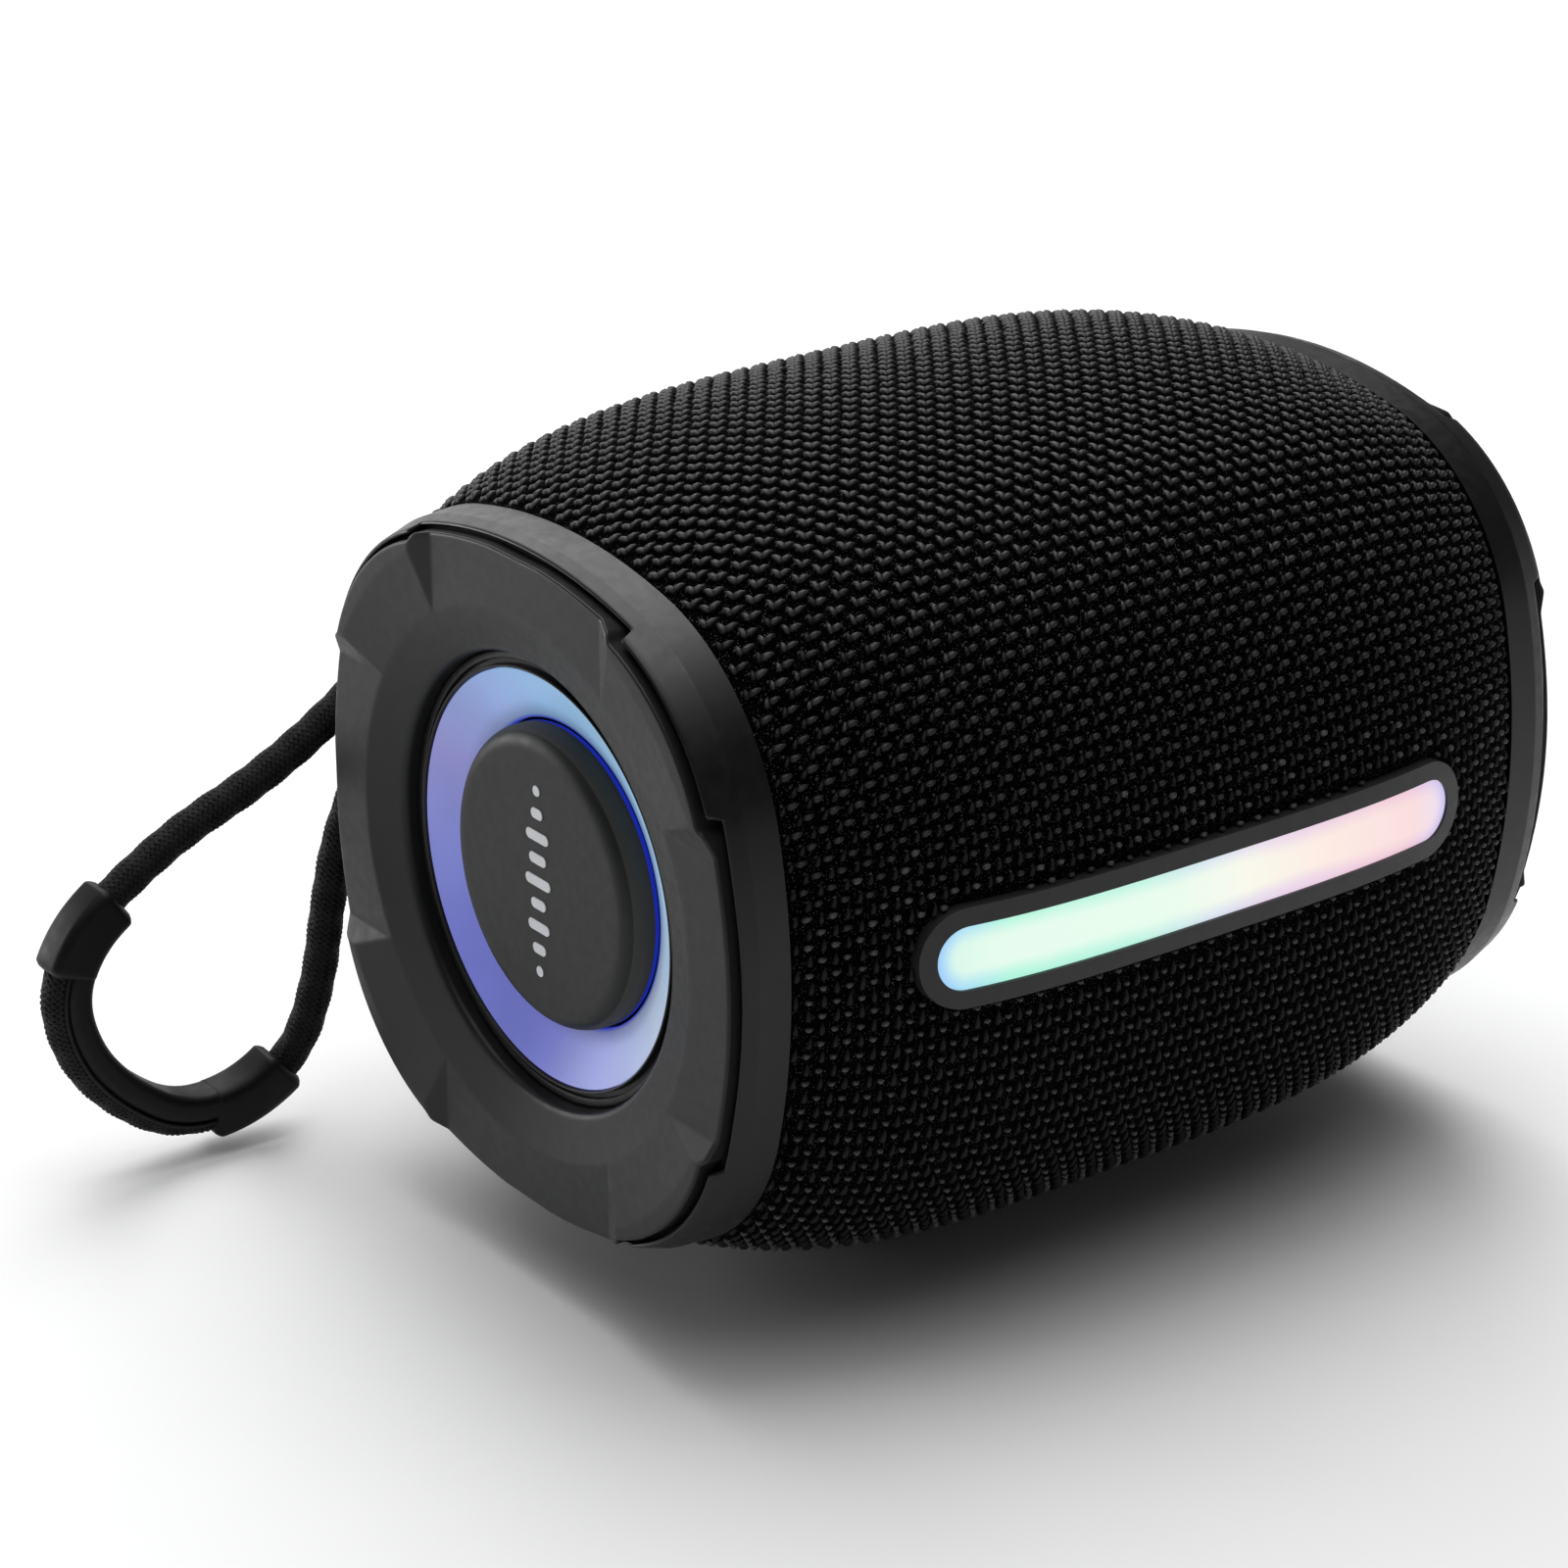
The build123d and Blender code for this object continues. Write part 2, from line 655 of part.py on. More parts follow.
with BuildPart() as port_bay:
    add(bar(rounded(BAY_X, PANEL_Z, 18.6, 10.2, 1.4), 34.4, 60))
    add(under, mode=Mode.INTERSECT)
    add(bar(rounded(BAY_X, PANEL_Z, 15.2, 7.4, 0.8), 35.6, 60), mode=Mode.SUBTRACT)
    add(bar(pill(BAY_X, AX + 4.95, 9.0, 3.4), 30, 40), mode=Mode.SUBTRACT)
    add(bar(lambda: add(Rectangle(12.7, 2.0).moved(Location((BAY_X, AX + 1.6)))), 30, 40), mode=Mode.SUBTRACT)
keep("port_bay", port_bay)

with BuildPart() as flap_plug:      # fills the mouth of the bay
    add(bar(rounded(BAY_X, PANEL_Z, 14.4, 6.6, 0.6), 30, 60))
    add(barrel(0.5), mode=Mode.INTERSECT)
    add(barrel(1.9), mode=Mode.SUBTRACT)

with BuildPart() as flap_tab:       # finger tab at the free edge
    add(bar(rounded(FLAP_X0 + 1.6, PANEL_Z, 1.4, 5.0, 0.6), 30, 60))
    add(barrel(-1.5), mode=Mode.INTERSECT)
    add(skin, mode=Mode.SUBTRACT)

with BuildPart() as port_flap:
    add(bar(rounded((FLAP_X0 + FLAP_X1) / 2, PANEL_Z, FLAP_X1 - FLAP_X0, FLAP_H, 0.8), 30, 60))
    add(barrel(-0.9), mode=Mode.INTERSECT)
    add(barrel(0.6), mode=Mode.SUBTRACT)
    add(flap_plug.part)
    # rolled hinge edge
    with BuildSketch(Plane.XY.offset(PANEL_Z - 3.6)):
        with Locations((FLAP_X1, FLAP_Y)):
            Circle(0.85)
    extrude(amount=7.2)
    add(flap_tab.part)
keep("port_flap", port_flap)
print("flap hinge", FLAP_X1, FLAP_Y, PANEL_Z)

# ---------------------------------------------------------------- hang loop
with BuildPart() as strap_anchor:
    add(bar(rounded(-40.0, PANEL_Z, 11.4, 15.4, 2.9), 30, 48.6))
    fillet(strap_anchor.faces().sort_by(Axis.Y)[-1].edges(), 2.0)
    add(under, mode=Mode.SUBTRACT)
keep("strap_anchor", strap_anchor)


stops = [Vector(*p) for p in CORD]
radii = []                          # every arc is as large as its two runs allow
for a, b, c in zip(stops, stops[1:], stops[2:]):
    half = radians((b - a).get_angle(c - b)) / 2
    radii.append(0.45 * min((b - a).length, (c - b).length) / tan(half))

with BuildPart() as strap_cord:
    with BuildLine() as route:
        FilletPolyline(*stops, radius=radii)
    with BuildSketch(Plane(origin=stops[0], z_dir=(stops[1] - stops[0]).normalized())):
        Circle(CORD_D / 2)
    sweep(path=route.wires()[0])
length = route.wires()[0].length
keep("strap_cord", strap_cord)
print("cord radii", [round(r, 1) for r in radii], "length", round(length, 2),
      "volume ratio", round(strap_cord.part.volume / (pi * CORD_D ** 2 / 4 * length), 4))

# moulded grip: a rib inside the loop between two blocks that wrap the cord
GRIP = [(-79.4, 34.45), (-83.9, 31.2), (-87.1, 24.4), (-85.4, 16.4), (-80.6, 9.9), (-73.2, 4.4), (-64.4, 4.5),
        (-58.6, 8.1)]


def grip_line():
    """The cord's centre through the grip, in the loop's own plane."""
    pts = [Vector(x, z) for x, z in GRIP]
    radii = []
    for a, b, c in zip(pts, pts[1:], pts[2:]):
        half = radians((b - a).get_angle(c - b)) / 2
        radii.append(0.45 * min((b - a).length, (c - b).length) / tan(half))
    with BuildLine() as centre:
        FilletPolyline(*pts, radius=radii)
    return centre.wires()[0]


def grip_band(first, last, inner, outer, half_width):
    """Band along part of the loop, from inner to outer of the cord's centre."""
    whole = grip_line()
    one, two = [], []
    for k in range(25):
        at = first + (last - first) * k / 24
        p, t = whole.position_at(at), whole.tangent_at(at)
        one.append((p.X - t.Y * inner, p.Y + t.X * inner))
        two.append((p.X + t.Y * outer, p.Y - t.X * outer))
    with BuildPart() as form:
        with BuildSketch(Plane.XZ.offset(-(48.3 - half_width))):
            with BuildLine():
                s1 = Spline(*one)
                s2 = Spline(*two)
                Line(s1 @ 0, s2 @ 0)
                Line(s1 @ 1, s2 @ 1)
            make_face()
        extrude(amount=-2 * half_width)
    return form.part


with BuildPart() as strap_grip:
    add(grip_band(0.02, 0.98, 3.3, 0.0, 2.6))
    add(grip_band(0.0, 0.2, 3.3, 2.75, 3.2))
    add(grip_band(0.8, 1.0, 3.3, 2.75, 3.2))
    add(strap_cord.part, mode=Mode.SUBTRACT)
keep("strap_grip", strap_grip)

# ---------------------------------------------------------------- foot and wires
with BuildPart() as foot_pad:
    add(foot_block.part)
    fillet(foot_pad.faces().sort_by(Axis.Z)[0].edges(), 0.5)
    add(under, mode=Mode.SUBTRACT)
keep("foot_pad", foot_pad)

with BuildPart() as speaker_wires:
    for y in (-1.4, 1.4):
        pts = [(-19.0, y - 14, AX - 8.0), (-19.0, y - 14, AX + 6.0), (-24.6, y - 14, AX + 16.0),
               (-24.6, y - 14, AX + 31.0)]
        with BuildLine() as run:
            FilletPolyline(*pts, radius=[8, 8])
        with BuildSketch(Plane(origin=pts[0], z_dir=(0, 0, 1))):
            Circle(0.7)
        sweep(path=run.wires()[0])
keep("speaker_wires", speaker_wires)

for name, piece in PIECES.items():
    print(name, len(piece.solids()), round(piece.volume / 1000, 3), "cm3")
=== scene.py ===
import json
import math
import bpy
import numpy as np
from mathutils import Matrix, Vector


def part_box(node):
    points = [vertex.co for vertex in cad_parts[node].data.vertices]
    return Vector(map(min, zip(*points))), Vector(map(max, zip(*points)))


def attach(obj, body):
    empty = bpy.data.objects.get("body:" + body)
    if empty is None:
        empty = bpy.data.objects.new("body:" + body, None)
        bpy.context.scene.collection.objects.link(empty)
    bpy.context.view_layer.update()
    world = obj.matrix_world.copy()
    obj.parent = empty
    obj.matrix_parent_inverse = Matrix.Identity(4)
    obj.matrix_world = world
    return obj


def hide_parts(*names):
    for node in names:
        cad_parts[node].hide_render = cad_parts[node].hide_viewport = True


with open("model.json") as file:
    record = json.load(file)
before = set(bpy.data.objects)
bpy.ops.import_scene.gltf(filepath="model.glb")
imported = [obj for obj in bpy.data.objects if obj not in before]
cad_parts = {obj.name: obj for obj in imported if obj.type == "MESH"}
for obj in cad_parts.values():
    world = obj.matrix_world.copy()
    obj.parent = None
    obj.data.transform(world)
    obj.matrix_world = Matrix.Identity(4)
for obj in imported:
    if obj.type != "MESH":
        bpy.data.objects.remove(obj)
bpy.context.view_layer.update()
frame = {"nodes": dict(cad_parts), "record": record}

MM = 0.001
AX = 47.0 * MM
NODES = frame["nodes"]
scene = bpy.context.scene
scene.view_settings.view_transform = "Standard"
scene.view_settings.look = "None"

# ------------------------------------------------------------------ camera
camera_data = bpy.data.cameras.new("camera")
camera_data.lens = 110.41
camera_data.sensor_width = 36.0
camera_data.sensor_fit = "HORIZONTAL"
camera_data.clip_start = 0.02
camera_data.clip_end = 50.0
camera = bpy.data.objects.new("camera", camera_data)
scene.collection.objects.link(camera)
right = Vector((0.803258, -0.595631, 0.0))
up = Vector((0.233240, 0.314543, 0.920142))
forward = Vector((0.548065, 0.739112, -0.391584))
turn = Matrix((right, up, -forward)).transposed().to_4x4()
camera.matrix_world = Matrix.Translation((-0.308490, -0.386025, 0.254568)) @ turn
scene.camera = camera


# ------------------------------------------------------------------ helpers
def link(obj, body="root", mat=None, replaces=()):
    if obj.name not in scene.collection.objects:
        scene.collection.objects.link(obj)
    if mat is not None:
        obj.data.materials.clear()
        obj.data.materials.append(mat)
    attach(obj, body)
    if replaces:
        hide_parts(*replaces)
    return obj


def mesh_object(name, verts, faces, smooth=True):
    me = bpy.data.meshes.new(name)
    me.from_pydata([tuple(v) for v in verts], [], [tuple(f) for f in faces])
    me.validate()
    me.update()
    if smooth:
        me.polygons.foreach_set("use_smooth", [True] * len(me.polygons))
    return bpy.data.objects.new(name, me)


def lin(c):
    """sRGB 0..1 to linear."""
    return tuple((v / 12.92 if v <= 0.04045 else ((v + 0.055) / 1.055) ** 2.4) for v in c)


def smooth_by_angle(obj, degrees=32):
    """Smooth faces with sharp edges above an angle."""
    me = obj.data
    me.polygons.foreach_set("use_smooth", [True] * len(me.polygons))
    me.set_sharp_from_angle(angle=math.radians(degrees))


# ------------------------------------------------------------------ the barrel's form (as in the CAD)
HALF = 49.8


def section_numbers(x):
    u = np.minimum(1.0, np.abs(x) / HALF)
    mean = 40.0 * (1 + 0.1857 * (1 - u ** 3.49))
    q = 0.0284 + (0.0405 - 0.0284) * u * u
    return mean * (1 - q), mean * (1 + q), 34.0 - 8.0 * u * u


def square_r(a, b, rc, th):
    """Radius at angle th of the eight-arc rounded square."""
    c = (b - rc) / math.sqrt(2)
    d = (2 * c * c - (a - rc) ** 2) / (2 * (a - rc - c))
    big = a + d
    nl = np.sqrt(c * c + (c + d) ** 2)
    tx, ty = c / nl * big, (c + d) / nl * big - d
    phi = np.abs((th + math.pi / 4) % (math.pi / 2) - math.pi / 4)
    flat = -d * np.cos(phi) + np.sqrt(np.maximum(big ** 2 - (d * np.sin(phi)) ** 2, 0))
    dl = math.pi / 4 - phi
    corner = c * math.sqrt(2) * np.cos(dl) + np.sqrt(np.maximum(rc ** 2 - 2 * (c * np.sin(dl)) ** 2, 0))
    return np.where(phi < np.arctan2(tx, ty), flat, corner)


def barrel(x, psi, t=0.0):
    """Point on the barrel, t mm inside the cloth's outer face. x in mm; psi in radians: 0 in front, up over the top."""
    x, psi = np.broadcast_arrays(np.asarray(x, float), np.asarray(psi, float))
    a, b, rc = section_numbers(x)
    r = square_r(a - t, b - t, rc - t, psi)
    return np.stack([x, -r * np.cos(psi), 47.0 + r * np.sin(psi)], -1) * MM


def barrel_frame(x, psi, t=0.0):
    """Point, unit vectors along the axis, round (upwards in front) and outwards."""
    p = barrel(x, psi, t)
    e = 0.02
    along = barrel(np.asarray(x) + e, psi, t) - barrel(np.asarray(x) - e, psi, t)
    round_ = barrel(x, np.asarray(psi) + e / 44, t) - barrel(x, np.asarray(psi) - e / 44, t)
    along /= np.linalg.norm(along, axis=-1, keepdims=True)
    round_ /= np.linalg.norm(round_, axis=-1, keepdims=True)
    out = np.cross(round_, along)
    out /= np.linalg.norm(out, axis=-1, keepdims=True)
    centre = np.stack([p[..., 0], np.zeros_like(p[..., 0]), np.full_like(p[..., 0], AX)], -1)
    flip = np.sign(((p - centre) * out).sum(-1))[..., None]
    return p, along, round_, out * flip


# ------------------------------------------------------------------ materials
def nodes_of(mat):
    mat.use_nodes = True
    nt = mat.node_tree
    return nt, nt.nodes["Principled BSDF"]


def add(nt, kind, **values):
    node = nt.nodes.new(kind)
    for k, v in values.items():
        if k in node.inputs:
            node.inputs[k].default_value = v
        else:
            setattr(node, k, v)
    return node


def moulded(name, colour, rough, grain_mm=0.25, grain=0.02, mottle=0.12, metal=0.0, level=0.5, sheen=0.0,
            coat=0.0, wear=0.0, scratch=0.0):
    """Plastic, rubber or metal: fine grain, slow colour variation, roughness variation and rubbed patches."""
    mat = bpy.data.materials.new(name)
    nt, bsdf = nodes_of(mat)
    coord = add(nt, "ShaderNodeTexCoord")
    slow = add(nt, "ShaderNodeTexNoise", Scale=90.0, Detail=4.0, Roughness=0.55)
    mid = add(nt, "ShaderNodeTexNoise", Scale=700.0, Detail=3.0, Roughness=0.6)
    fine = add(nt, "ShaderNodeTexNoise", Scale=1.0 / (grain_mm * MM), Detail=3.0, Roughness=0.65)
    for n in (slow, mid, fine):
        nt.links.new(coord.outputs["Object"], n.inputs["Vector"])
    mix = add(nt, "ShaderNodeMix", data_type="RGBA")
    mix.inputs["A"].default_value = (*[c * (1 - mottle) for c in colour], 1)
    mix.inputs["B"].default_value = (*[min(1, c * (1 + mottle)) for c in colour], 1)
    nt.links.new(slow.outputs["Fac"], mix.inputs["Factor"])
    last = mix.outputs["Result"]
    if wear:
        worn = add(nt, "ShaderNodeMapRange")
        worn.inputs["From Min"].default_value = 0.56
        worn.inputs["From Max"].default_value = 0.74
        worn.inputs["To Max"].default_value = wear
        nt.links.new(mid.outputs["Fac"], worn.inputs["Value"])
        dust = add(nt, "ShaderNodeMix", data_type="RGBA")
        dust.inputs["B"].default_value = (*[min(1, c * 1.8 + 0.004) for c in colour], 1)
        nt.links.new(worn.outputs["Result"], dust.inputs["Factor"])
        nt.links.new(last, dust.inputs["A"])
        last = dust.outputs["Result"]
    nt.links.new(last, bsdf.inputs["Base Color"])
    spread = add(nt, "ShaderNodeMapRange")
    spread.inputs["From Min"].default_value = 0.3
    spread.inputs["From Max"].default_value = 0.7
    spread.inputs["To Min"].default_value = max(0.03, rough - 0.06)
    spread.inputs["To Max"].default_value = min(1.0, rough + 0.06)
    nt.links.new(mid.outputs["Fac"], spread.inputs["Value"])
    nt.links.new(spread.outputs["Result"], bsdf.inputs["Roughness"])
    bump = add(nt, "ShaderNodeBump", Strength=1.0, Distance=grain * MM)
    nt.links.new(fine.outputs["Fac"], bump.inputs["Height"])
    nt.links.new(bump.outputs["Normal"], bsdf.inputs["Normal"])
    if scratch:
        streak = add(nt, "ShaderNodeTexNoise", Scale=1400.0, Detail=2.0)
        stretch = add(nt, "ShaderNodeMapping")
        stretch.inputs["Scale"].default_value = (0.05, 1.0, 1.0)
        nt.links.new(coord.outputs["Object"], stretch.inputs["Vector"])
        nt.links.new(stretch.outputs["Vector"], streak.inputs["Vector"])
        bump2 = add(nt, "ShaderNodeBump", Strength=1.0, Distance=scratch * MM)
        nt.links.new(streak.outputs["Fac"], bump2.inputs["Height"])
        nt.links.new(bump.outputs["Normal"], bump2.inputs["Normal"])
        nt.links.new(bump2.outputs["Normal"], bsdf.inputs["Normal"])
    bsdf.inputs["Metallic"].default_value = metal
    bsdf.inputs["Specular IOR Level"].default_value = level
    if sheen:
        bsdf.inputs["Sheen Weight"].default_value = sheen
        bsdf.inputs["Sheen Roughness"].default_value = 0.5
    if coat:
        bsdf.inputs["Coat Weight"].default_value = coat
        bsdf.inputs["Coat Roughness"].default_value = 0.25
    return mat


def maths(nt, op, a, b=None, c=None):
    n = nt.nodes.new("ShaderNodeMath")
    n.operation = op
    for i, v in enumerate((a, b, c)):
        if v is None:
            continue
        if isinstance(v, (int, float)):
            n.inputs[i].default_value = v
        else:
            nt.links.new(v, n.inputs[i])
    return n.outputs[0]


def yarn(name, colour, rough, pitch_mm, twist, sheen=0.25, level=0.35, fibre=0.03):
    """Multifilament yarn: fine filament lines, fuzz and uneven dye."""
    mat = bpy.data.materials.new(name)
    nt, bsdf = nodes_of(mat)
    coord = add(nt, "ShaderNodeTexCoord")
    warp = add(nt, "ShaderNodeTexNoise", Scale=500.0, Detail=2.0)
    nt.links.new(coord.outputs["Object"], warp.inputs["Vector"])
    line = add(nt, "ShaderNodeTexWave", Scale=1.0 / (pitch_mm * MM) / 6.2832 * 3.1416, Distortion=3.0, Detail=2.0)
    line.bands_direction = "DIAGONAL"
    tilt = add(nt, "ShaderNodeMapping")
    tilt.inputs["Rotation"].default_value = (twist, 0.3, 0.7)
    nt.links.new(coord.outputs["Object"], tilt.inputs["Vector"])
    nt.links.new(tilt.outputs["Vector"], line.inputs["Vector"])
    fuzz = add(nt, "ShaderNodeTexNoise", Scale=9000.0, Detail=2.0)
    nt.links.new(coord.outputs["Object"], fuzz.inputs["Vector"])
    both = maths(nt, "MULTIPLY_ADD", line.outputs["Fac"], 0.55, fuzz.outputs["Fac"])
    ramp = add(nt, "ShaderNodeMapRange")
    ramp.inputs["From Min"].default_value = 0.35
    ramp.inputs["From Max"].default_value = 1.1
    nt.links.new(both, ramp.inputs["Value"])
    mix = add(nt, "ShaderNodeMix", data_type="RGBA")
    mix.inputs["A"].default_value = (*[c * 0.45 for c in colour], 1)
    mix.inputs["B"].default_value = (*[c * 1.25 for c in colour], 1)
    nt.links.new(ramp.outputs["Result"], mix.inputs["Factor"])
    tint = add(nt, "ShaderNodeMix", data_type="RGBA", blend_type="MULTIPLY")
    tint.inputs["Factor"].default_value = 1.0
    shade = add(nt, "ShaderNodeMapRange")
    shade.inputs["From Min"].default_value = 0.3
    shade.inputs["From Max"].default_value = 0.7
    shade.inputs["To Min"].default_value = 0.7
    shade.inputs["To Max"].default_value = 1.2
    nt.links.new(warp.outputs["Fac"], shade.inputs["Value"])
    nt.links.new(mix.outputs["Result"], tint.inputs["A"])
    nt.links.new(shade.outputs["Result"], tint.inputs["B"])
    nt.links.new(tint.outputs["Result"], bsdf.inputs["Base Color"])
    rr = add(nt, "ShaderNodeMapRange")
    rr.inputs["To Min"].default_value = rough + 0.1
    rr.inputs["To Max"].default_value = rough - 0.08
    nt.links.new(fuzz.outputs["Fac"], rr.inputs["Value"])
    nt.links.new(rr.outputs["Result"], bsdf.inputs["Roughness"])
    bump = add(nt, "ShaderNodeBump", Strength=1.0, Distance=fibre * MM)
    nt.links.new(both, bump.inputs["Height"])
    nt.links.new(bump.outputs["Normal"], bsdf.inputs["Normal"])
    bsdf.inputs["Specular IOR Level"].default_value = level
    bsdf.inputs["Sheen Weight"].default_value = sheen
    bsdf.inputs["Sheen Roughness"].default_value = 0.6
    return mat


def ramp_node(nt, stops):
    node = nt.nodes.new("ShaderNodeValToRGB")
    el = node.color_ramp.elements
    while len(el) < len(stops):
        el.new(0.5)
    for e, (at, colour) in zip(el, stops):
        e.position = at
        e.color = (*lin(colour), 1)
    return node


def bar_glow():
    """The light bar's diffuser: core and edge colours along it, from the record's lens centre."""
    mat = bpy.data.materials.new("light_bar_glow")
    nt, bsdf = nodes_of(mat)
    coord = add(nt, "ShaderNodeTexCoord")
    sep = add(nt, "ShaderNodeSeparateXYZ")
    nt.links.new(coord.outputs["Object"], sep.inputs[0])
    x = maths(nt, "ADD", sep.outputs["X"], 0.8 * MM)
    z = maths(nt, "ADD", sep.outputs["Z"], -48.8 * MM)
    u = maths(nt, "MULTIPLY_ADD", x, 1 / 0.070, 0.5)
    over = maths(nt, "MAXIMUM", maths(nt, "SUBTRACT", maths(nt, "ABSOLUTE", x), 31.45 * MM), 0.0)
    d = maths(nt, "SQRT", maths(nt, "ADD", maths(nt, "MULTIPLY", over, over), maths(nt, "MULTIPLY", z, z)))
    d = maths(nt, "MULTIPLY", d, 1 / (3.55 * MM))
    wob = add(nt, "ShaderNodeTexNoise", Scale=70.0, Detail=2.0)
    nt.links.new(coord.outputs["Object"], wob.inputs["Vector"])
    d = maths(nt, "ADD", d, maths(nt, "MULTIPLY_ADD", wob.outputs["Fac"], 0.5, -0.25))
    edge = add(nt, "ShaderNodeMapRange", interpolation_type="SMOOTHSTEP")
    edge.inputs["From Min"].default_value = 0.35
    edge.inputs["From Max"].default_value = 1.0
    nt.links.new(d, edge.inputs["Value"])
    core = ramp_node(nt, [(0.0, (0.84, 0.98, 0.93)), (0.10, (0.91, 1.0, 0.94)), (0.42, (0.92, 1.0, 0.94)),
                          (0.56, (0.98, 0.985, 0.93)), (0.72, (1.0, 0.93, 0.89)), (0.92, (0.98, 0.865, 0.868)),
                          (1.0, (0.93, 0.87, 0.95))])
    rim = ramp_node(nt, [(0.0, (0.62, 0.80, 1.0)), (0.05, (0.68, 0.90, 0.97)), (0.12, (0.70, 0.98, 0.88)),
                         (0.36, (0.76, 0.97, 0.90)), (0.50, (0.86, 0.90, 0.95)), (0.62, (0.93, 0.85, 0.93)),
                         (0.90, (0.95, 0.79, 0.85)), (1.0, (0.80, 0.78, 0.96))])
    for r in (core, rim):
        nt.links.new(u, r.inputs["Fac"])
    mix = add(nt, "ShaderNodeMix", data_type="RGBA")
    nt.links.new(edge.outputs["Result"], mix.inputs["Factor"])
    nt.links.new(core.outputs["Color"], mix.inputs["A"])
    nt.links.new(rim.outputs["Color"], mix.inputs["B"])
    nt.links.new(mix.outputs["Result"], bsdf.inputs["Emission Color"])
    bsdf.inputs["Emission Strength"].default_value = 0.93
    bsdf.inputs["Base Color"].default_value = (0.05, 0.05, 0.055, 1)
    bsdf.inputs["Roughness"].default_value = 0.38
    bsdf.inputs["Specular IOR Level"].default_value = 0.25
    return mat


def ring_glow():
    """Colours of the lit ring by the angle round the barrel's axis."""
    mat = bpy.data.materials.new("light_ring_glow")
    nt, bsdf = nodes_of(mat)
    coord = add(nt, "ShaderNodeTexCoord")
    sep = add(nt, "ShaderNodeSeparateXYZ")
    nt.links.new(coord.outputs["Object"], sep.inputs[0])
    z = maths(nt, "ADD", sep.outputs["Z"], -AX)
    y = maths(nt, "MULTIPLY", sep.outputs["Y"], -1.0)
    ang = maths(nt, "ARCTAN2", z, y)                      # 0 in front, pi/2 at the top
    u = maths(nt, "MULTIPLY_ADD", ang, 1 / (2 * math.pi), 0.5)   # 0 = back, .25 bottom, .5 front, .75 top, 1 = back
    r = maths(nt, "SQRT", maths(nt, "ADD", maths(nt, "MULTIPLY", z, z), maths(nt, "MULTIPLY", y, y)))
    wob = add(nt, "ShaderNodeTexNoise", Scale=60.0, Detail=2.0)
    nt.links.new(coord.outputs["Object"], wob.inputs["Vector"])
    lobe = ramp_node(nt, [(0.0, (0.55, 0.58, 0.90)), (0.10, (0.47, 0.50, 0.88)), (0.24, (0.47, 0.50, 0.90)),
                          (0.32, (0.62, 0.66, 0.95)), (0.42, (0.80, 0.87, 0.98)), (0.54, (0.72, 0.88, 1.0)),
                          (0.68, (0.66, 0.86, 1.0)), (0.78, (0.62, 0.80, 1.0)), (0.87, (0.62, 0.70, 0.95)),
                          (0.94, (0.60, 0.60, 0.88)), (1.0, (0.55, 0.58, 0.90))])
    nt.links.new(u, lobe.inputs["Fac"])
    deep = add(nt, "ShaderNodeMapRange", interpolation_type="SMOOTHSTEP")
    deep.inputs["From Min"].default_value = 16.9 * MM
    deep.inputs["From Max"].default_value = 19.4 * MM
    deep.inputs["To Min"].default_value = 0.55
    nt.links.new(r, deep.inputs["Value"])
    patch = add(nt, "ShaderNodeMapRange")
    patch.inputs["From Min"].default_value = 0.35
    patch.inputs["From Max"].default_value = 0.65
    patch.inputs["To Min"].default_value = 0.86
    patch.inputs["To Max"].default_value = 1.06
    nt.links.new(wob.outputs["Fac"], patch.inputs["Value"])
    power = maths(nt, "MULTIPLY", deep.outputs["Result"], patch.outputs["Result"])
    brim = add(nt, "ShaderNodeMapRange", interpolation_type="SMOOTHSTEP")
    brim.inputs["From Min"].default_value = 17.5 * MM
    brim.inputs["From Max"].default_value = 16.95 * MM
    nt.links.new(r, brim.inputs["Value"])
    line = add(nt, "ShaderNodeMix", data_type="RGBA")
    line.inputs["B"].default_value = (*lin((0.20, 0.30, 1.0)), 1)
    nt.links.new(brim.outputs["Result"], line.inputs["Factor"])
    nt.links.new(lobe.outputs["Color"], line.inputs["A"])
    scaled = add(nt, "ShaderNodeVectorMath", operation="SCALE")
    nt.links.new(line.outputs["Result"], scaled.inputs[0])
    nt.links.new(power, scaled.inputs["Scale"])
    nt.links.new(scaled.outputs[0], bsdf.inputs["Emission Color"])
    bsdf.inputs["Emission Strength"].default_value = 0.64
    bsdf.inputs["Base Color"].default_value = (0.06, 0.065, 0.08, 1)
    bsdf.inputs["Roughness"].default_value = 0.4
    bsdf.inputs["Specular IOR Level"].default_value = 0.2
    return mat


RUBBER = (0.0120, 0.0128, 0.0124)
m_bumper = moulded("bumper_rubber", (0.0092, 0.0099, 0.0096), 0.42, 0.22, 0.010, 0.08, level=0.24, wear=0.08)
m_ring = moulded("ring_satin", (0.0042, 0.0043, 0.0045), 0.37, 0.16, 0.005, 0.06, level=0.31, wear=0.05)
m_plate = moulded("plate_matte", (0.0155, 0.0166, 0.0160), 0.48, 0.14, 0.007, 0.06, level=0.22)
m_frame = moulded("frame_dark", (0.0105, 0.0105, 0.011), 0.45, 0.2, 0.010, 0.10, level=0.3)
m_bezel = moulded("bezel_satin", (0.0175, 0.0178, 0.0182), 0.44, 0.16, 0.006, 0.08, level=0.35)
m_shell = moulded("shell_abs", (0.020, 0.020, 0.022), 0.55, 0.3, 0.02, 0.10)
m_soft = moulded("soft_rubber", (0.012, 0.012, 0.012), 0.7, 0.15, 0.01, 0.10, level=0.3)
m_keys = moulded("silicone_keys", (0.020, 0.020, 0.021), 0.52, 0.12, 0.006, 0.08, level=0.4, wear=0.10)
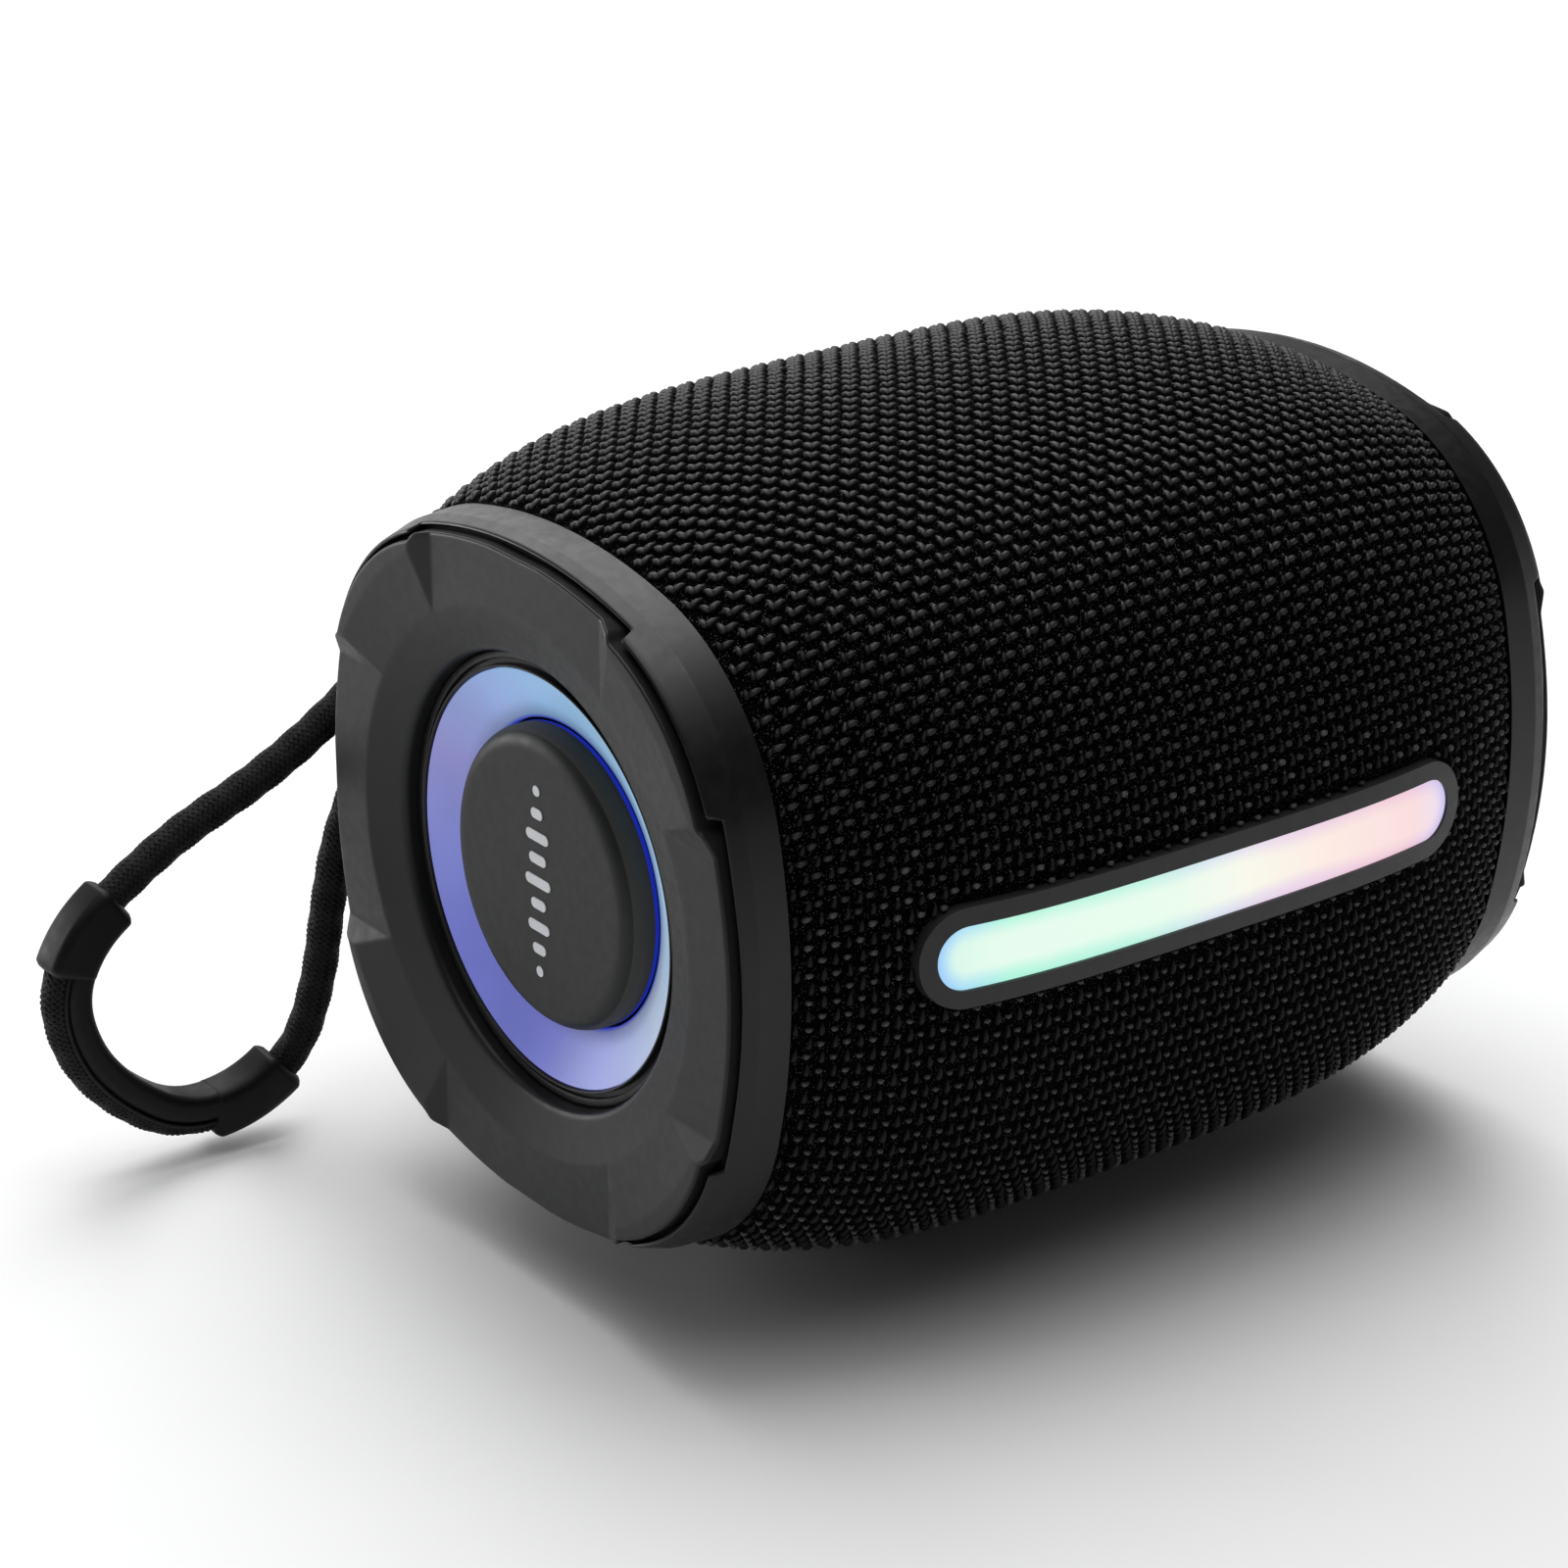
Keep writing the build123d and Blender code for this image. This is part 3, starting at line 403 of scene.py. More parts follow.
m_foot = moulded("foot_rubber", (0.018, 0.018, 0.018), 0.75, 0.30, 0.030, 0.12, level=0.25, wear=0.25)
m_grip = moulded("grip_rubber", (0.0026, 0.0026, 0.0028), 0.50, 0.16, 0.008, 0.08, level=0.16, wear=0.05)
m_board = moulded("solder_mask", (0.010, 0.075, 0.035), 0.35, 0.5, 0.010, 0.15, coat=0.3)
m_steel = moulded("zinc_steel", (0.55, 0.55, 0.56), 0.32, 0.4, 0.004, 0.08, metal=1.0, scratch=0.004)
m_magnet = moulded("ferrite", (0.06, 0.06, 0.064), 0.7, 0.2, 0.03, 0.15)
m_cone = moulded("paper_cone", (0.022, 0.022, 0.022), 0.85, 0.25, 0.06, 0.2)
m_foam = moulded("foam", (0.035, 0.035, 0.035), 0.95, 0.35, 0.12, 0.15, level=0.2)
m_cell = moulded("cell_sleeve", (0.03, 0.13, 0.36), 0.25, 0.6, 0.004, 0.08, coat=0.5)
m_wire = moulded("wire_sleeve", (0.30, 0.02, 0.02), 0.4, 0.3, 0.01, 0.08)
m_mark = moulded("mark_print", (0.60, 0.61, 0.64), 0.45, 0.12, 0.004, 0.05)
m_icon = moulded("icon_print", (0.30, 0.30, 0.31), 0.5, 0.12, 0.004, 0.06)
# near-black material on the walls of the groove round each cap: painted shade in the gap between bumper and ring
m_groove_painted_shade = moulded("groove_painted_shade", (0.004, 0.004, 0.004), 0.8, 0.2, 0.01, 0.1, level=0.2)
# the cloth floats' yarn in four copies: plain, then lit and shaded copies carrying painted shade (darkest), painted
# half shade and a painted highlight
m_float = yarn("cloth_float", (0.0190, 0.0192, 0.0196), 0.44, 0.16, 0.4, sheen=0.0, level=0.45)
m_float_painted_shade = yarn("cloth_float_painted_shade", (0.0060, 0.0061, 0.0063), 0.5, 0.16, 0.4, sheen=0.0, level=0.2)
m_float_painted_half_shade = yarn("cloth_float_painted_half_shade", (0.0110, 0.0111, 0.0114), 0.44, 0.16, 0.4, sheen=0.0, level=0.35)
m_float_painted_highlight = yarn("cloth_float_painted_highlight", (0.0460, 0.0464, 0.0472), 0.42, 0.16, 0.4, sheen=0.0, level=0.5)
m_cord = yarn("cord_yarn", (0.0036, 0.0036, 0.0038), 0.60, 0.14, 0.9, sheen=0.0, level=0.20)
m_bar = bar_glow()
m_glow = ring_glow()

SLOT_MATERIAL = {"shell": m_shell, "ring": m_ring, "bumper": m_bumper, "frame": m_frame, "plate": m_plate,
                 "soft": m_soft, "glow": m_glow, "lens": m_bar, "board": m_board, "steel": m_steel,
                 "magnet": m_magnet, "cone": m_cone, "foam": m_foam, "cell": m_cell, "keys": m_keys,
                 "cord": m_cord, "grip": m_grip, "wire": m_wire, "cloth": m_float}
for part in frame["record"]["subparts"]:
    node = NODES[part["node"]]
    node.data.materials.clear()
    node.data.materials.append(SLOT_MATERIAL[part["material_slot"]])
for name, mat in (("light_bar_bezel", m_bezel), ("foot_pad", m_foot), ("strap_anchor", m_grip),
                  ("port_flap", m_keys)):
    NODES[name].data.materials[0] = mat


# ------------------------------------------------------------------ hang loop
ROUTE = [(-46.0, 46.0, 54.2), (-51.0, 46.4, 50.0), (-60.6, 47.4, 44.0), (-70.0, 48.2, 40.1),
         (-77.6, 48.3, 35.7), (-83.9, 48.3, 31.2), (-87.1, 48.3, 24.4), (-85.4, 48.3, 16.4),
         (-80.6, 48.3, 9.9), (-73.2, 48.3, 4.4), (-64.4, 48.0, 4.5), (-56.9, 47.4, 9.2),
         (-53.9, 46.9, 17.8), (-52.6, 46.6, 27.0), (-50.6, 46.3, 36.4), (-46.0, 46.0, 45.6)]
curve = bpy.data.curves.new("strap_cord_core", "CURVE")
curve.dimensions = "3D"
curve.resolution_u = 28
spline = curve.splines.new("NURBS")
spline.points.add(len(ROUTE) - 1)
for p, co in zip(spline.points, ROUTE):
    p.co = (co[0] * MM, co[1] * MM, co[2] * MM, 1.0)
spline.order_u = 3
spline.use_endpoint_u = True
cord = bpy.data.objects.new("strap_cord_core", curve)
scene.collection.objects.link(cord)
bpy.context.view_layer.update()
read = bpy.data.meshes.new_from_object(cord)
LINE = np.array([v.co for v in read.vertices], float)
bpy.data.meshes.remove(read)
keep = np.r_[True, np.linalg.norm(np.diff(LINE, axis=0), axis=1) > 1e-6]
LINE = LINE[keep]
S = np.r_[0, np.cumsum(np.linalg.norm(np.diff(LINE, axis=0), axis=1))]
CORD_LENGTH = float(S[-1])
curve.bevel_depth = 1.72 * MM
curve.bevel_resolution = 6
curve.use_fill_caps = True


def along_line(s):
    """Points, tangents and two normals (towards the loop's inside, and across) at lengths s."""
    s = np.asarray(s, float)
    p = np.stack([np.interp(s, S, LINE[:, k]) for k in range(3)], -1)
    e = 0.0006
    t = (np.stack([np.interp(np.minimum(s + e, S[-1]), S, LINE[:, k]) for k in range(3)], -1)
         - np.stack([np.interp(np.maximum(s - e, 0), S, LINE[:, k]) for k in range(3)], -1))
    t /= np.linalg.norm(t, axis=-1, keepdims=True)
    n = np.stack([-t[:, 2], np.zeros(len(s)), t[:, 0]], -1)
    n /= np.linalg.norm(n, axis=-1, keepdims=True)
    return p, t, n, np.cross(t, n)


def braid(name, carriers=12, turn_mm=8.2, radius=1.80, lift=0.13, wide=0.30, thick=0.15):
    """Tubular braid of flat yarns that pass over and under each other."""
    s = np.linspace(0, CORD_LENGTH, 420)
    p, t, n, b = along_line(s)
    omega = 2 * math.pi / (turn_mm * MM)
    verts, faces = [], []
    ring = [(-1.0, 0.0), (-0.6, 0.8), (0.0, 1.0), (0.6, 0.8), (1.0, 0.0), (0.0, -0.7)]
    for way in (1, -1):
        for i in range(carriers):
            phi = way * (omega * s) + 2 * math.pi * i / carriers
            other = (phi + way * omega * s) * carriers / (2 * math.pi)
            wave = np.cos(math.pi * (other + i)) * way
            rad = (radius + lift * wave) * MM
            out = np.cos(phi)[:, None] * n + np.sin(phi)[:, None] * b
            round_ = -np.sin(phi)[:, None] * n + np.cos(phi)[:, None] * b
            centre = p + out * rad[:, None]
            tang = t + round_ * (way * omega * radius * MM)
            tang /= np.linalg.norm(tang, axis=1, keepdims=True)
            side = np.cross(tang, out)
            base = len(verts)
            for k in range(len(s)):
                for u, v in ring:
                    verts.append(centre[k] + side[k] * (u * wide * MM) + out[k] * (v * thick * MM))
            m = len(ring)
            for k in range(len(s) - 1):
                for j in range(m):
                    a0 = base + k * m + j
                    a1 = base + k * m + (j + 1) % m
                    faces.append((a0, a1, a1 + m, a0 + m))
            faces.append(tuple(base + j for j in range(m))[::-1])
            faces.append(tuple(base + (len(s) - 1) * m + j for j in range(m)))
    return mesh_object(name, verts, faces)


cord_braid = braid("strap_cord_braid")


def band(name, s0, s1, inner, outer, half_w, corner, steps=40, crown=0.0, ends=0.35):
    """A moulded piece along the loop: a rounded section from outer to inner of the cord's centre."""
    s = np.linspace(s0, s1, steps)
    # two more rings at each end round the end faces over
    s = np.sort(np.r_[s0, s0 + 0.3 * ends * MM, s0 + 0.9 * ends * MM, s[1:-1], s1 - 0.9 * ends * MM, s1 - 0.3 * ends * MM, s1])
    shrink = np.zeros(len(s))
    shrink[0] = shrink[-1] = ends
    shrink[1] = shrink[-2] = ends * 0.45
    shrink[2] = shrink[-3] = ends * 0.08
    p, t, n, b = along_line(s)
    mid, hn = (inner - outer) / 2, (inner + outer) / 2
    seg = 6
    outline = []
    for q, (cx, cy) in enumerate(((1, 1), (-1, 1), (-1, -1), (1, -1))):
        for k in range(seg + 1):
            a = math.radians(90 * q + 90 * k / seg)
            outline.append((cx, cy, math.cos(a), math.sin(a)))
    verts, faces = [], []
    m = len(outline)
    for k in range(len(s)):
        for cx, cy, ca, sa in outline:
            c = corner
            u = mid + cx * (hn - c) + c * ca - cx * 0 - shrink[k] * (ca if abs(ca) > 0.01 else 0)
            v = cy * (half_w - c) + c * sa - shrink[k] * (sa if abs(sa) > 0.01 else 0)
            verts.append(p[k] + n[k] * (u * MM) + b[k] * (v * MM))
    for k in range(len(s) - 1):
        for j in range(m):
            a0, a1 = k * m + j, k * m + (j + 1) % m
            faces.append((a0, a1, a1 + m, a0 + m))
    faces.append(tuple(range(m))[::-1])
    faces.append(tuple((len(s) - 1) * m + j for j in range(m)))
    return mesh_object(name, verts, faces)


def nearest_s(x, z):
    d = (LINE[:, 0] - x * MM) ** 2 + (LINE[:, 2] - z * MM) ** 2
    return float(S[int(np.argmin(d))])


g0, g1 = nearest_s(-79.4, 34.45), nearest_s(-58.6, 8.1)
span = g1 - g0
rib = band("strap_grip_rib", g0 + 0.05 * span, g1 - 0.05 * span, 3.28, 0.05, 2.62, 1.2, steps=70)
block_a = band("strap_grip_block_a", g0, g0 + 0.195 * span, 3.3, 2.6, 2.85, 1.4, steps=18, ends=0.9)
block_b = band("strap_grip_block_b", g1 - 0.205 * span, g1, 3.3, 2.6, 2.85, 1.4, steps=18, ends=0.9)
lip = band("strap_grip_bead", g0 + 0.10 * span, g1 - 0.10 * span, 0.05, 0.42, 2.36, 0.22, steps=70)
link(cord, "root", m_cord, ["strap_cord"])
link(cord_braid, "root", m_cord)
for piece in (rib, block_a, block_b, lip):
    link(piece, "root", m_grip)
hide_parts("strap_grip")


# ------------------------------------------------------------------ woven cloth
BAR_X, BAR_Z = -0.8, 48.8
PANEL_X, PANEL_Z = 6.5, 50.5


def pill_distance(x, z, cx, cz, length, height):
    """Signed distance from a slot's outline, negative inside."""
    r = height / 2
    dx = np.maximum(np.abs(x - cx) - (length / 2 - r), 0)
    return np.hypot(dx, z - cz) - r


def box_distance(x, z, cx, cz, w, h, r):
    dx = np.abs(x - cx) - (w / 2 - r)
    dz = np.abs(z - cz) - (h / 2 - r)
    return np.hypot(np.maximum(dx, 0), np.maximum(dz, 0)) + np.minimum(np.maximum(dx, dz), 0) - r


def clear_of(p):
    """Distance in mm from the nearest opening in the cloth, negative inside it. p in metres."""
    x, y, z = p[..., 0] / MM, p[..., 1] / MM, p[..., 2] / MM
    front = np.where(y < -20, pill_distance(x, z, BAR_X, BAR_Z, 74.0, 11.1), 99)
    back = np.where(y > 20, np.minimum(pill_distance(x, z, PANEL_X, PANEL_Z, 76.0, 15.0),
                                       box_distance(x, z, -40.0, PANEL_Z, 11.6, 15.6, 3.0)), 99)
    foot = np.where(z < 12, box_distance(x, y, 0, 0, 52, 24, 8.0), 99)
    return np.minimum(np.minimum(front, back), foot)


def cloth_base():
    """The ground weave: a closed skin with a fine raised texture, open where the pieces sit."""
    nx, na = 128, 360
    xs = np.linspace(-49.75, 49.75, nx)
    ps = np.linspace(0, 2 * math.pi, na, endpoint=False)
    X, P = np.meshgrid(xs, ps, indexing="ij")
    outer = barrel(X, P, 0.62)
    inner = barrel(X, P, 1.15)
    mid = barrel(X, P, 0.6)
    verts = np.concatenate([outer.reshape(-1, 3), inner.reshape(-1, 3)])
    gone = clear_of(mid) < -1.1
    n = nx * na
    faces = []
    idx = np.arange(n).reshape(nx, na)
    kept = np.zeros((nx - 1, na), bool)
    for i in range(nx - 1):
        for j in range(na):
            k = (j + 1) % na
            kept[i, j] = not (gone[i, j] and gone[i + 1, j] and gone[i, k] and gone[i + 1, k])
    for i in range(nx - 1):
        for j in range(na):
            if not kept[i, j]:
                continue
            k = (j + 1) % na
            a, b, c, d = idx[i, j], idx[i + 1, j], idx[i + 1, k], idx[i, k]
            faces.append((a, d, c, b))
            faces.append((a + n, b + n, c + n, d + n))
            if i == 0 or not kept[i - 1, j]:
                faces.append((a, a + n, d + n, d))
            if i == nx - 2 or not kept[i + 1, j]:
                faces.append((b, c, c + n, b + n))
            if not kept[i, (j - 1) % na]:
                faces.append((a, b, b + n, a + n))
            if not kept[i, k]:
                faces.append((d, d + n, c + n, c))
    used = np.unique(np.array([v for f in faces for v in f]))
    remap = -np.ones(2 * n, int)
    remap[used] = np.arange(len(used))
    obj = mesh_object("grille_cloth_ground", verts[used], [tuple(remap[list(f)]) for f in faces])
    smooth_by_angle(obj, 50)
    return obj


def ground_material():
    """Fine crossing yarns under the floats: nearly black, with small bright specks painted in as filament glints."""
    mat = bpy.data.materials.new("cloth_ground")
    nt, bsdf = nodes_of(mat)
    coord = add(nt, "ShaderNodeTexCoord")
    sep = add(nt, "ShaderNodeSeparateXYZ")
    nt.links.new(coord.outputs["Object"], sep.inputs[0])
    z = maths(nt, "ADD", sep.outputs["Z"], -AX)
    ang = maths(nt, "ARCTAN2", z, sep.outputs["Y"])
    arc = maths(nt, "MULTIPLY", ang, 45 * MM)
    flat = add(nt, "ShaderNodeCombineXYZ")
    nt.links.new(sep.outputs["X"], flat.inputs["X"])
    nt.links.new(arc, flat.inputs["Y"])
    one = add(nt, "ShaderNodeTexWave", Scale=1 / (0.42 * MM) / 2, Distortion=2.2, Detail=2.0)
    two = add(nt, "ShaderNodeTexWave", Scale=1 / (0.36 * MM) / 2, Distortion=2.2, Detail=2.0, bands_direction="Y")
    for w in (one, two):
        nt.links.new(flat.outputs[0], w.inputs["Vector"])
    height = maths(nt, "MULTIPLY", one.outputs["Fac"], two.outputs["Fac"])
    # voronoi specks on the yarn crests in a bright albedo: painted glints
    spark = add(nt, "ShaderNodeTexVoronoi", Scale=3400.0)
    nt.links.new(coord.outputs["Object"], spark.inputs["Vector"])
    painted_glint_mask = add(nt, "ShaderNodeMapRange")
    painted_glint_mask.inputs["From Min"].default_value = 0.25
    painted_glint_mask.inputs["From Max"].default_value = 0.10
    nt.links.new(spark.outputs["Distance"], painted_glint_mask.inputs["Value"])
    painted_glint_amount = maths(nt, "MULTIPLY", painted_glint_mask.outputs["Result"], maths(nt, "MULTIPLY_ADD", height, 0.5, 0.5))
    mix = add(nt, "ShaderNodeMix", data_type="RGBA")
    mix.inputs["A"].default_value = (0.0010, 0.0010, 0.0011, 1)
    mix.inputs["B"].default_value = (0.20, 0.20, 0.205, 1)
    nt.links.new(painted_glint_amount, mix.inputs["Factor"])
    nt.links.new(mix.outputs["Result"], bsdf.inputs["Base Color"])
    rough = add(nt, "ShaderNodeMapRange")
    rough.inputs["To Min"].default_value = 0.9
    rough.inputs["To Max"].default_value = 0.6
    nt.links.new(height, rough.inputs["Value"])
    nt.links.new(rough.outputs["Result"], bsdf.inputs["Roughness"])
    bump = add(nt, "ShaderNodeBump", Strength=1.0, Distance=0.12 * MM)
    nt.links.new(height, bump.inputs["Height"])
    nt.links.new(bump.outputs["Normal"], bsdf.inputs["Normal"])
    bsdf.inputs["Specular IOR Level"].default_value = 0.03
    return mat


PITCH_X, ROWS = 2.5, 168


def floats(sector_of, sectors):
    """Every yarn float of the cloth, as closed lobes on the barrel, in a mesh for each sector."""
    rng = np.random.default_rng(7)
    xs, ps = [], []
    # the cloth is stretched unevenly: the rows are closer on the top than low in front
    round_ = np.radians(np.linspace(-180, 180, 4001))
    step = np.interp(np.degrees(round_), [-180, -100, -30, 20, 60, 90, 180], [1.0, 1.10, 1.15, 0.96, 0.95, 0.97, 1.0])
    count = np.r_[0, np.cumsum(np.diff(round_) / (step[1:] * 2 * math.pi / ROWS))]
    rows = 2 * round(count[-1] / 2)
    for j in range(rows):
        psi = float(np.interp(j * count[-1] / rows, count, round_))
        for i in range(-21, 22):
            x = i * PITCH_X + (j % 2) * PITCH_X / 2
            if abs(x) < 50.2:
                xs.append(x)
                ps.append(psi)
    xs, ps = np.array(xs), np.array(ps)
    n = len(xs)
    xs = xs + rng.normal(0, 0.045, n)
    ps = ps + rng.normal(0, 0.035, n) / 45
    # kind 0: the upright float, kind 1: the float along the axis, kind 2: a small knot.
    # each is drawn from one end to the other; its place and size change from the top (60 degrees) to the front (0), and
    # its tone carries painted light by the same angle: painted shade on the upright floats below the top, painted half
    # shade on the other floats there and a painted highlight on those low in front
    turn_up = np.degrees(ps)
    turn_up = np.where(turn_up < -90, turn_up + 360, turn_up)
    zone = np.minimum(turn_up, 180 - turn_up)
    AT = [0.0, 33.0, 60.0]
    kinds = [dict(a=((-0.55, -0.72), (-0.51, -0.57), (0.04, -0.20)), b=((-0.42, 1.05), (0.18, 0.27), (-0.30, 1.50)),
                  wide=(0.33, 0.27, 0.44), high=(0.36, 0.28, 0.36), lift=-0.18, painted_shade=True),
             dict(a=((0.30, 0.10), (0.02, 0.04), (-0.12, -0.02)), b=((1.14, 0.20), (1.46, 0.24), (1.46, 0.28)),
                  wide=(0.30, 0.42, 0.38), high=(0.36, 0.42, 0.42), lift=-0.17, painted_shade=False),
             dict(a=((0.70, -1.06), (0.62, -1.06), (0.62, -1.06)), b=((0.95, -0.98), (1.12, -0.96), (1.12, -0.96)),
                  wide=(0.04, 0.22, 0.12), high=(0.10, 0.36, 0.12), lift=-0.16, painted_shade=False)]
    t_ring = np.array([0.08, 0.30, 0.62, 0.90])
    w_ring = np.array([0.66, 1.0, 0.84, 0.36])
    drop = np.array([-0.22, 0.04, 0.03, -0.26])
    sect = [(1.0, -0.10), (0.70, 0.66), (0.0, 1.0), (-0.70, 0.66), (-1.0, -0.10), (0.0, -0.7)]
    m, k_ring = len(sect), len(t_ring)
    per_v = m * k_ring + 2
    pattern = []
    for k in range(k_ring - 1):
        for j in range(m):
            a0, a1 = k * m + j, k * m + (j + 1) % m
            pattern.append((a0, a0 + m, a1 + m, a1))
    for j in range(m):
        pattern.append((m * k_ring, j, (j + 1) % m))
        pattern.append((m * k_ring + 1, (k_ring - 1) * m + (j + 1) % m, (k_ring - 1) * m + j))
    groups = {g: ([], []) for g in range(sectors)}
    for kind in kinds:
        ax, ay, bx, by = [np.interp(zone, AT, [v[e] for v in kind[end]]) for end in "ab" for e in (0, 1)]
        jl = rng.normal(1, 0.05, n)
        jw = rng.normal(1, 0.06, n)
        ja = rng.normal(0, 0.05, n)
        dx, da = bx - ax, by - ay
        ddx = dx * jl * np.cos(ja) - da * jl * np.sin(ja)
        dda = dx * jl * np.sin(ja) + da * jl * np.cos(ja)
        x0, a0 = xs + ax, ps + ay / 45
        x1, p1 = x0 + ddx, a0 + dda / 45
        wides, highs = np.interp(zone, AT, kind["wide"]), np.interp(zone, AT, kind["high"])
        # tone index by height round the barrel: 0 plain, 1 painted shade, 2 painted half shade, 3 painted highlight
        if kind["painted_shade"]:
            painted_light_tone = np.where(zone < rng.uniform(36, 56, n), 1, 0)
        else:
            painted_light_tone = np.where(zone < rng.uniform(4, 20, n), 3, np.where(zone < rng.uniform(38, 58, n), 2, 0))
        start = barrel_frame(x0, a0, -kind["lift"])
        end = barrel_frame(x1, p1, -kind["lift"])
        mids = clear_of((start[0] + end[0]) / 2)
        ends = np.minimum(clear_of(start[0]), clear_of(end[0]))
        ok = (ends > 0.12) & (mids > 0.25) & (np.abs(x0) < 49.55) & (np.abs(x1) < 49.55) & (wides > 0.11)
        d = end[0] - start[0]
        length = np.linalg.norm(d, axis=1, keepdims=True)
        d /= length
        out = start[3] + end[3]
        out /= np.linalg.norm(out, axis=1, keepdims=True)
        side = np.cross(d, out)
        side /= np.linalg.norm(side, axis=1, keepdims=True)
        block = np.zeros((n, per_v, 3))
        for k in range(k_ring):
            c = start[0] + d * (length * t_ring[k]) + out * (drop[k] * 0.45 * MM)
            w = (wides * w_ring[k] * jw)[:, None] * MM
            h = (highs * w_ring[k])[:, None] * MM
            for j, (u, v) in enumerate(sect):
                block[:, k * m + j] = c + side * (w * u) + out * (h * v)
        block[:, m * k_ring] = start[0] + out * (-0.20 * MM)
        block[:, m * k_ring + 1] = end[0] + out * (-0.22 * MM)
        for g in range(sectors):
            sel = np.nonzero(ok & (sector_of(xs, ps) == g))[0]
            groups[g][0].append(block[sel])
            groups[g][1].append(painted_light_tone[sel])
    made = []
    pat = np.array([f + (-1,) if len(f) == 3 else f for f in pattern])
    quads = np.array([f for f in pattern if len(f) == 4])
    tris = np.array([f for f in pattern if len(f) == 3])
    for g, (blocks, tones) in groups.items():
        vb = np.concatenate(blocks)
        tone = np.concatenate(tones).astype(np.int32)
        cnt = len(vb)
        offs = (np.arange(cnt) * per_v)[:, None, None]
        q = (quads[None] + offs).reshape(-1, 4)
        t = (tris[None] + offs).reshape(-1, 3)
        me = bpy.data.meshes.new(f"grille_cloth_floats_{g + 1}")
        v = vb.reshape(-1, 3)
        me.vertices.add(len(v))
        me.vertices.foreach_set("co", v.astype(np.float32).ravel())
        loops = np.concatenate([q.ravel(), t.ravel()])
        me.loops.add(len(loops))
        me.loops.foreach_set("vertex_index", loops.astype(np.int32))
        starts = np.concatenate([np.arange(len(q)) * 4, len(q) * 4 + np.arange(len(t)) * 3])
        totals = np.concatenate([np.full(len(q), 4), np.full(len(t), 3)])
        me.polygons.add(len(starts))
        me.polygons.foreach_set("loop_start", starts.astype(np.int32))
        me.polygons.foreach_set("loop_total", totals.astype(np.int32))
        me.polygons.foreach_set("use_smooth", np.ones(len(starts), bool))
        # materials by tone index: plain, painted shade, painted half shade, painted highlight
        for mat in (m_float, m_float_painted_shade, m_float_painted_half_shade, m_float_painted_highlight):
            me.materials.append(mat)
        me.polygons.foreach_set("material_index", np.r_[np.repeat(tone, len(quads)), np.repeat(tone, len(tris))])
        me.update(calc_edges=True)
        me.validate()
        made.append(bpy.data.objects.new(me.name, me))
    return made


SECTORS = 5


def sector_index(x, psi):
    return np.minimum((np.mod(psi, 2 * math.pi) / (2 * math.pi) * SECTORS).astype(int), SECTORS - 1)


m_ground = ground_material()
ground = link(cloth_base(), "root", m_ground, ["grille_fabric"])
for obj in floats(sector_index, SECTORS):
    link(obj, "root")


# ------------------------------------------------------------------ end caps: rubber bumper and hard ring
RING_X = [49.8, 53.6, 57.0]


def ring_outer(x, th):
    """Radius of the end ring's outer face at |x| and angle th."""
    x = np.asarray(x, float)
    a = np.interp(x, RING_X, [38.4, 38.25, 37.3])
    b = np.interp(x, RING_X, [41.6, 41.3, 40.2])
    rc = np.interp(x, RING_X, [26.0, 26.0, 25.5])
    return square_r(a, b, rc, th)


def smooth_min(a, b, k):
    h = np.clip(0.5 + 0.5 * (b - a) / k, 0, 1)
    return b * (1 - h) + a * h - k * h * (1 - h)


def ease(v):
    v = np.clip(v, 0, 1)
    return v * v * (3 - 2 * v)


def from_bar(r, th):
    """Distance from the nearest flat's centre line, across the flat."""
    return np.minimum(np.abs(r * np.cos(th)), np.abs(r * np.sin(th)))


def bumper_edge(th):
    """Radius of the bumper's outer edge."""
    land = square_r(36.5, 39.2, 24.8, th)
    phi = np.abs((th + math.pi / 4) % (math.pi / 2) - math.pi / 4)
    front = np.clip(np.cos(th), 0, 1) ** 8 * 0.5
    flat = np.minimum((36.8 + front) / np.cos(phi), square_r(37.55 + front * 0.6, 40.5, 25.7, th) - 0.6)
    return flat + (land - flat) * ease((from_bar(land, th) - 17.4) / 1.4)


def bumper_height(r, th):
    """|x| of the bumper's face: a funnel with a land at its rim, cut by four flats with sloping ends."""
    funnel = np.interp(r, [25.0, 25.35, 30.4, 35.0, 37.2, 45.0], [54.9, 55.2, 56.7, 57.5, 57.9, 57.9])
    cut = 56.7 + np.maximum(0, from_bar(r, th) - 15.6) / 2.356
    return smooth_min(funnel, cut, 0.06)


def turned_mesh(name, rings, painted_light_rows, mats, s):
    """Closed mesh of rings (|x|, radius) by angle; painted_light_rows gives the material of each row that isn't the
    first's: these materials carry painted shade and painted light.
    """
    n = rings[0][0].shape[0]
    th = np.linspace(0, 2 * math.pi, n, endpoint=False)
    verts = np.concatenate([np.stack([s * x, -r * np.cos(th), 47.0 + r * np.sin(th)], -1) for x, r in rings]) * MM
    m = len(rings)
    i = np.arange(n)
    k = (i + 1) % n
    faces, index = [], []
    for row in range(m):
        a, b = row * n, ((row + 1) % m) * n
        q = np.stack([a + i, a + k, b + k, b + i], -1)
        faces.append(q if s < 0 else q[:, ::-1])
        index += [painted_light_rows.get(row, 0)] * n
    faces = np.concatenate(faces)
    me = bpy.data.meshes.new(name)
    me.from_pydata(verts.tolist(), [], faces.tolist())
    me.validate()
    me.update()
    for mat in mats:
        me.materials.append(mat)
    me.polygons.foreach_set("material_index", index)
    obj = bpy.data.objects.new(name, me)
    smooth_by_angle(obj, 38)
    return obj


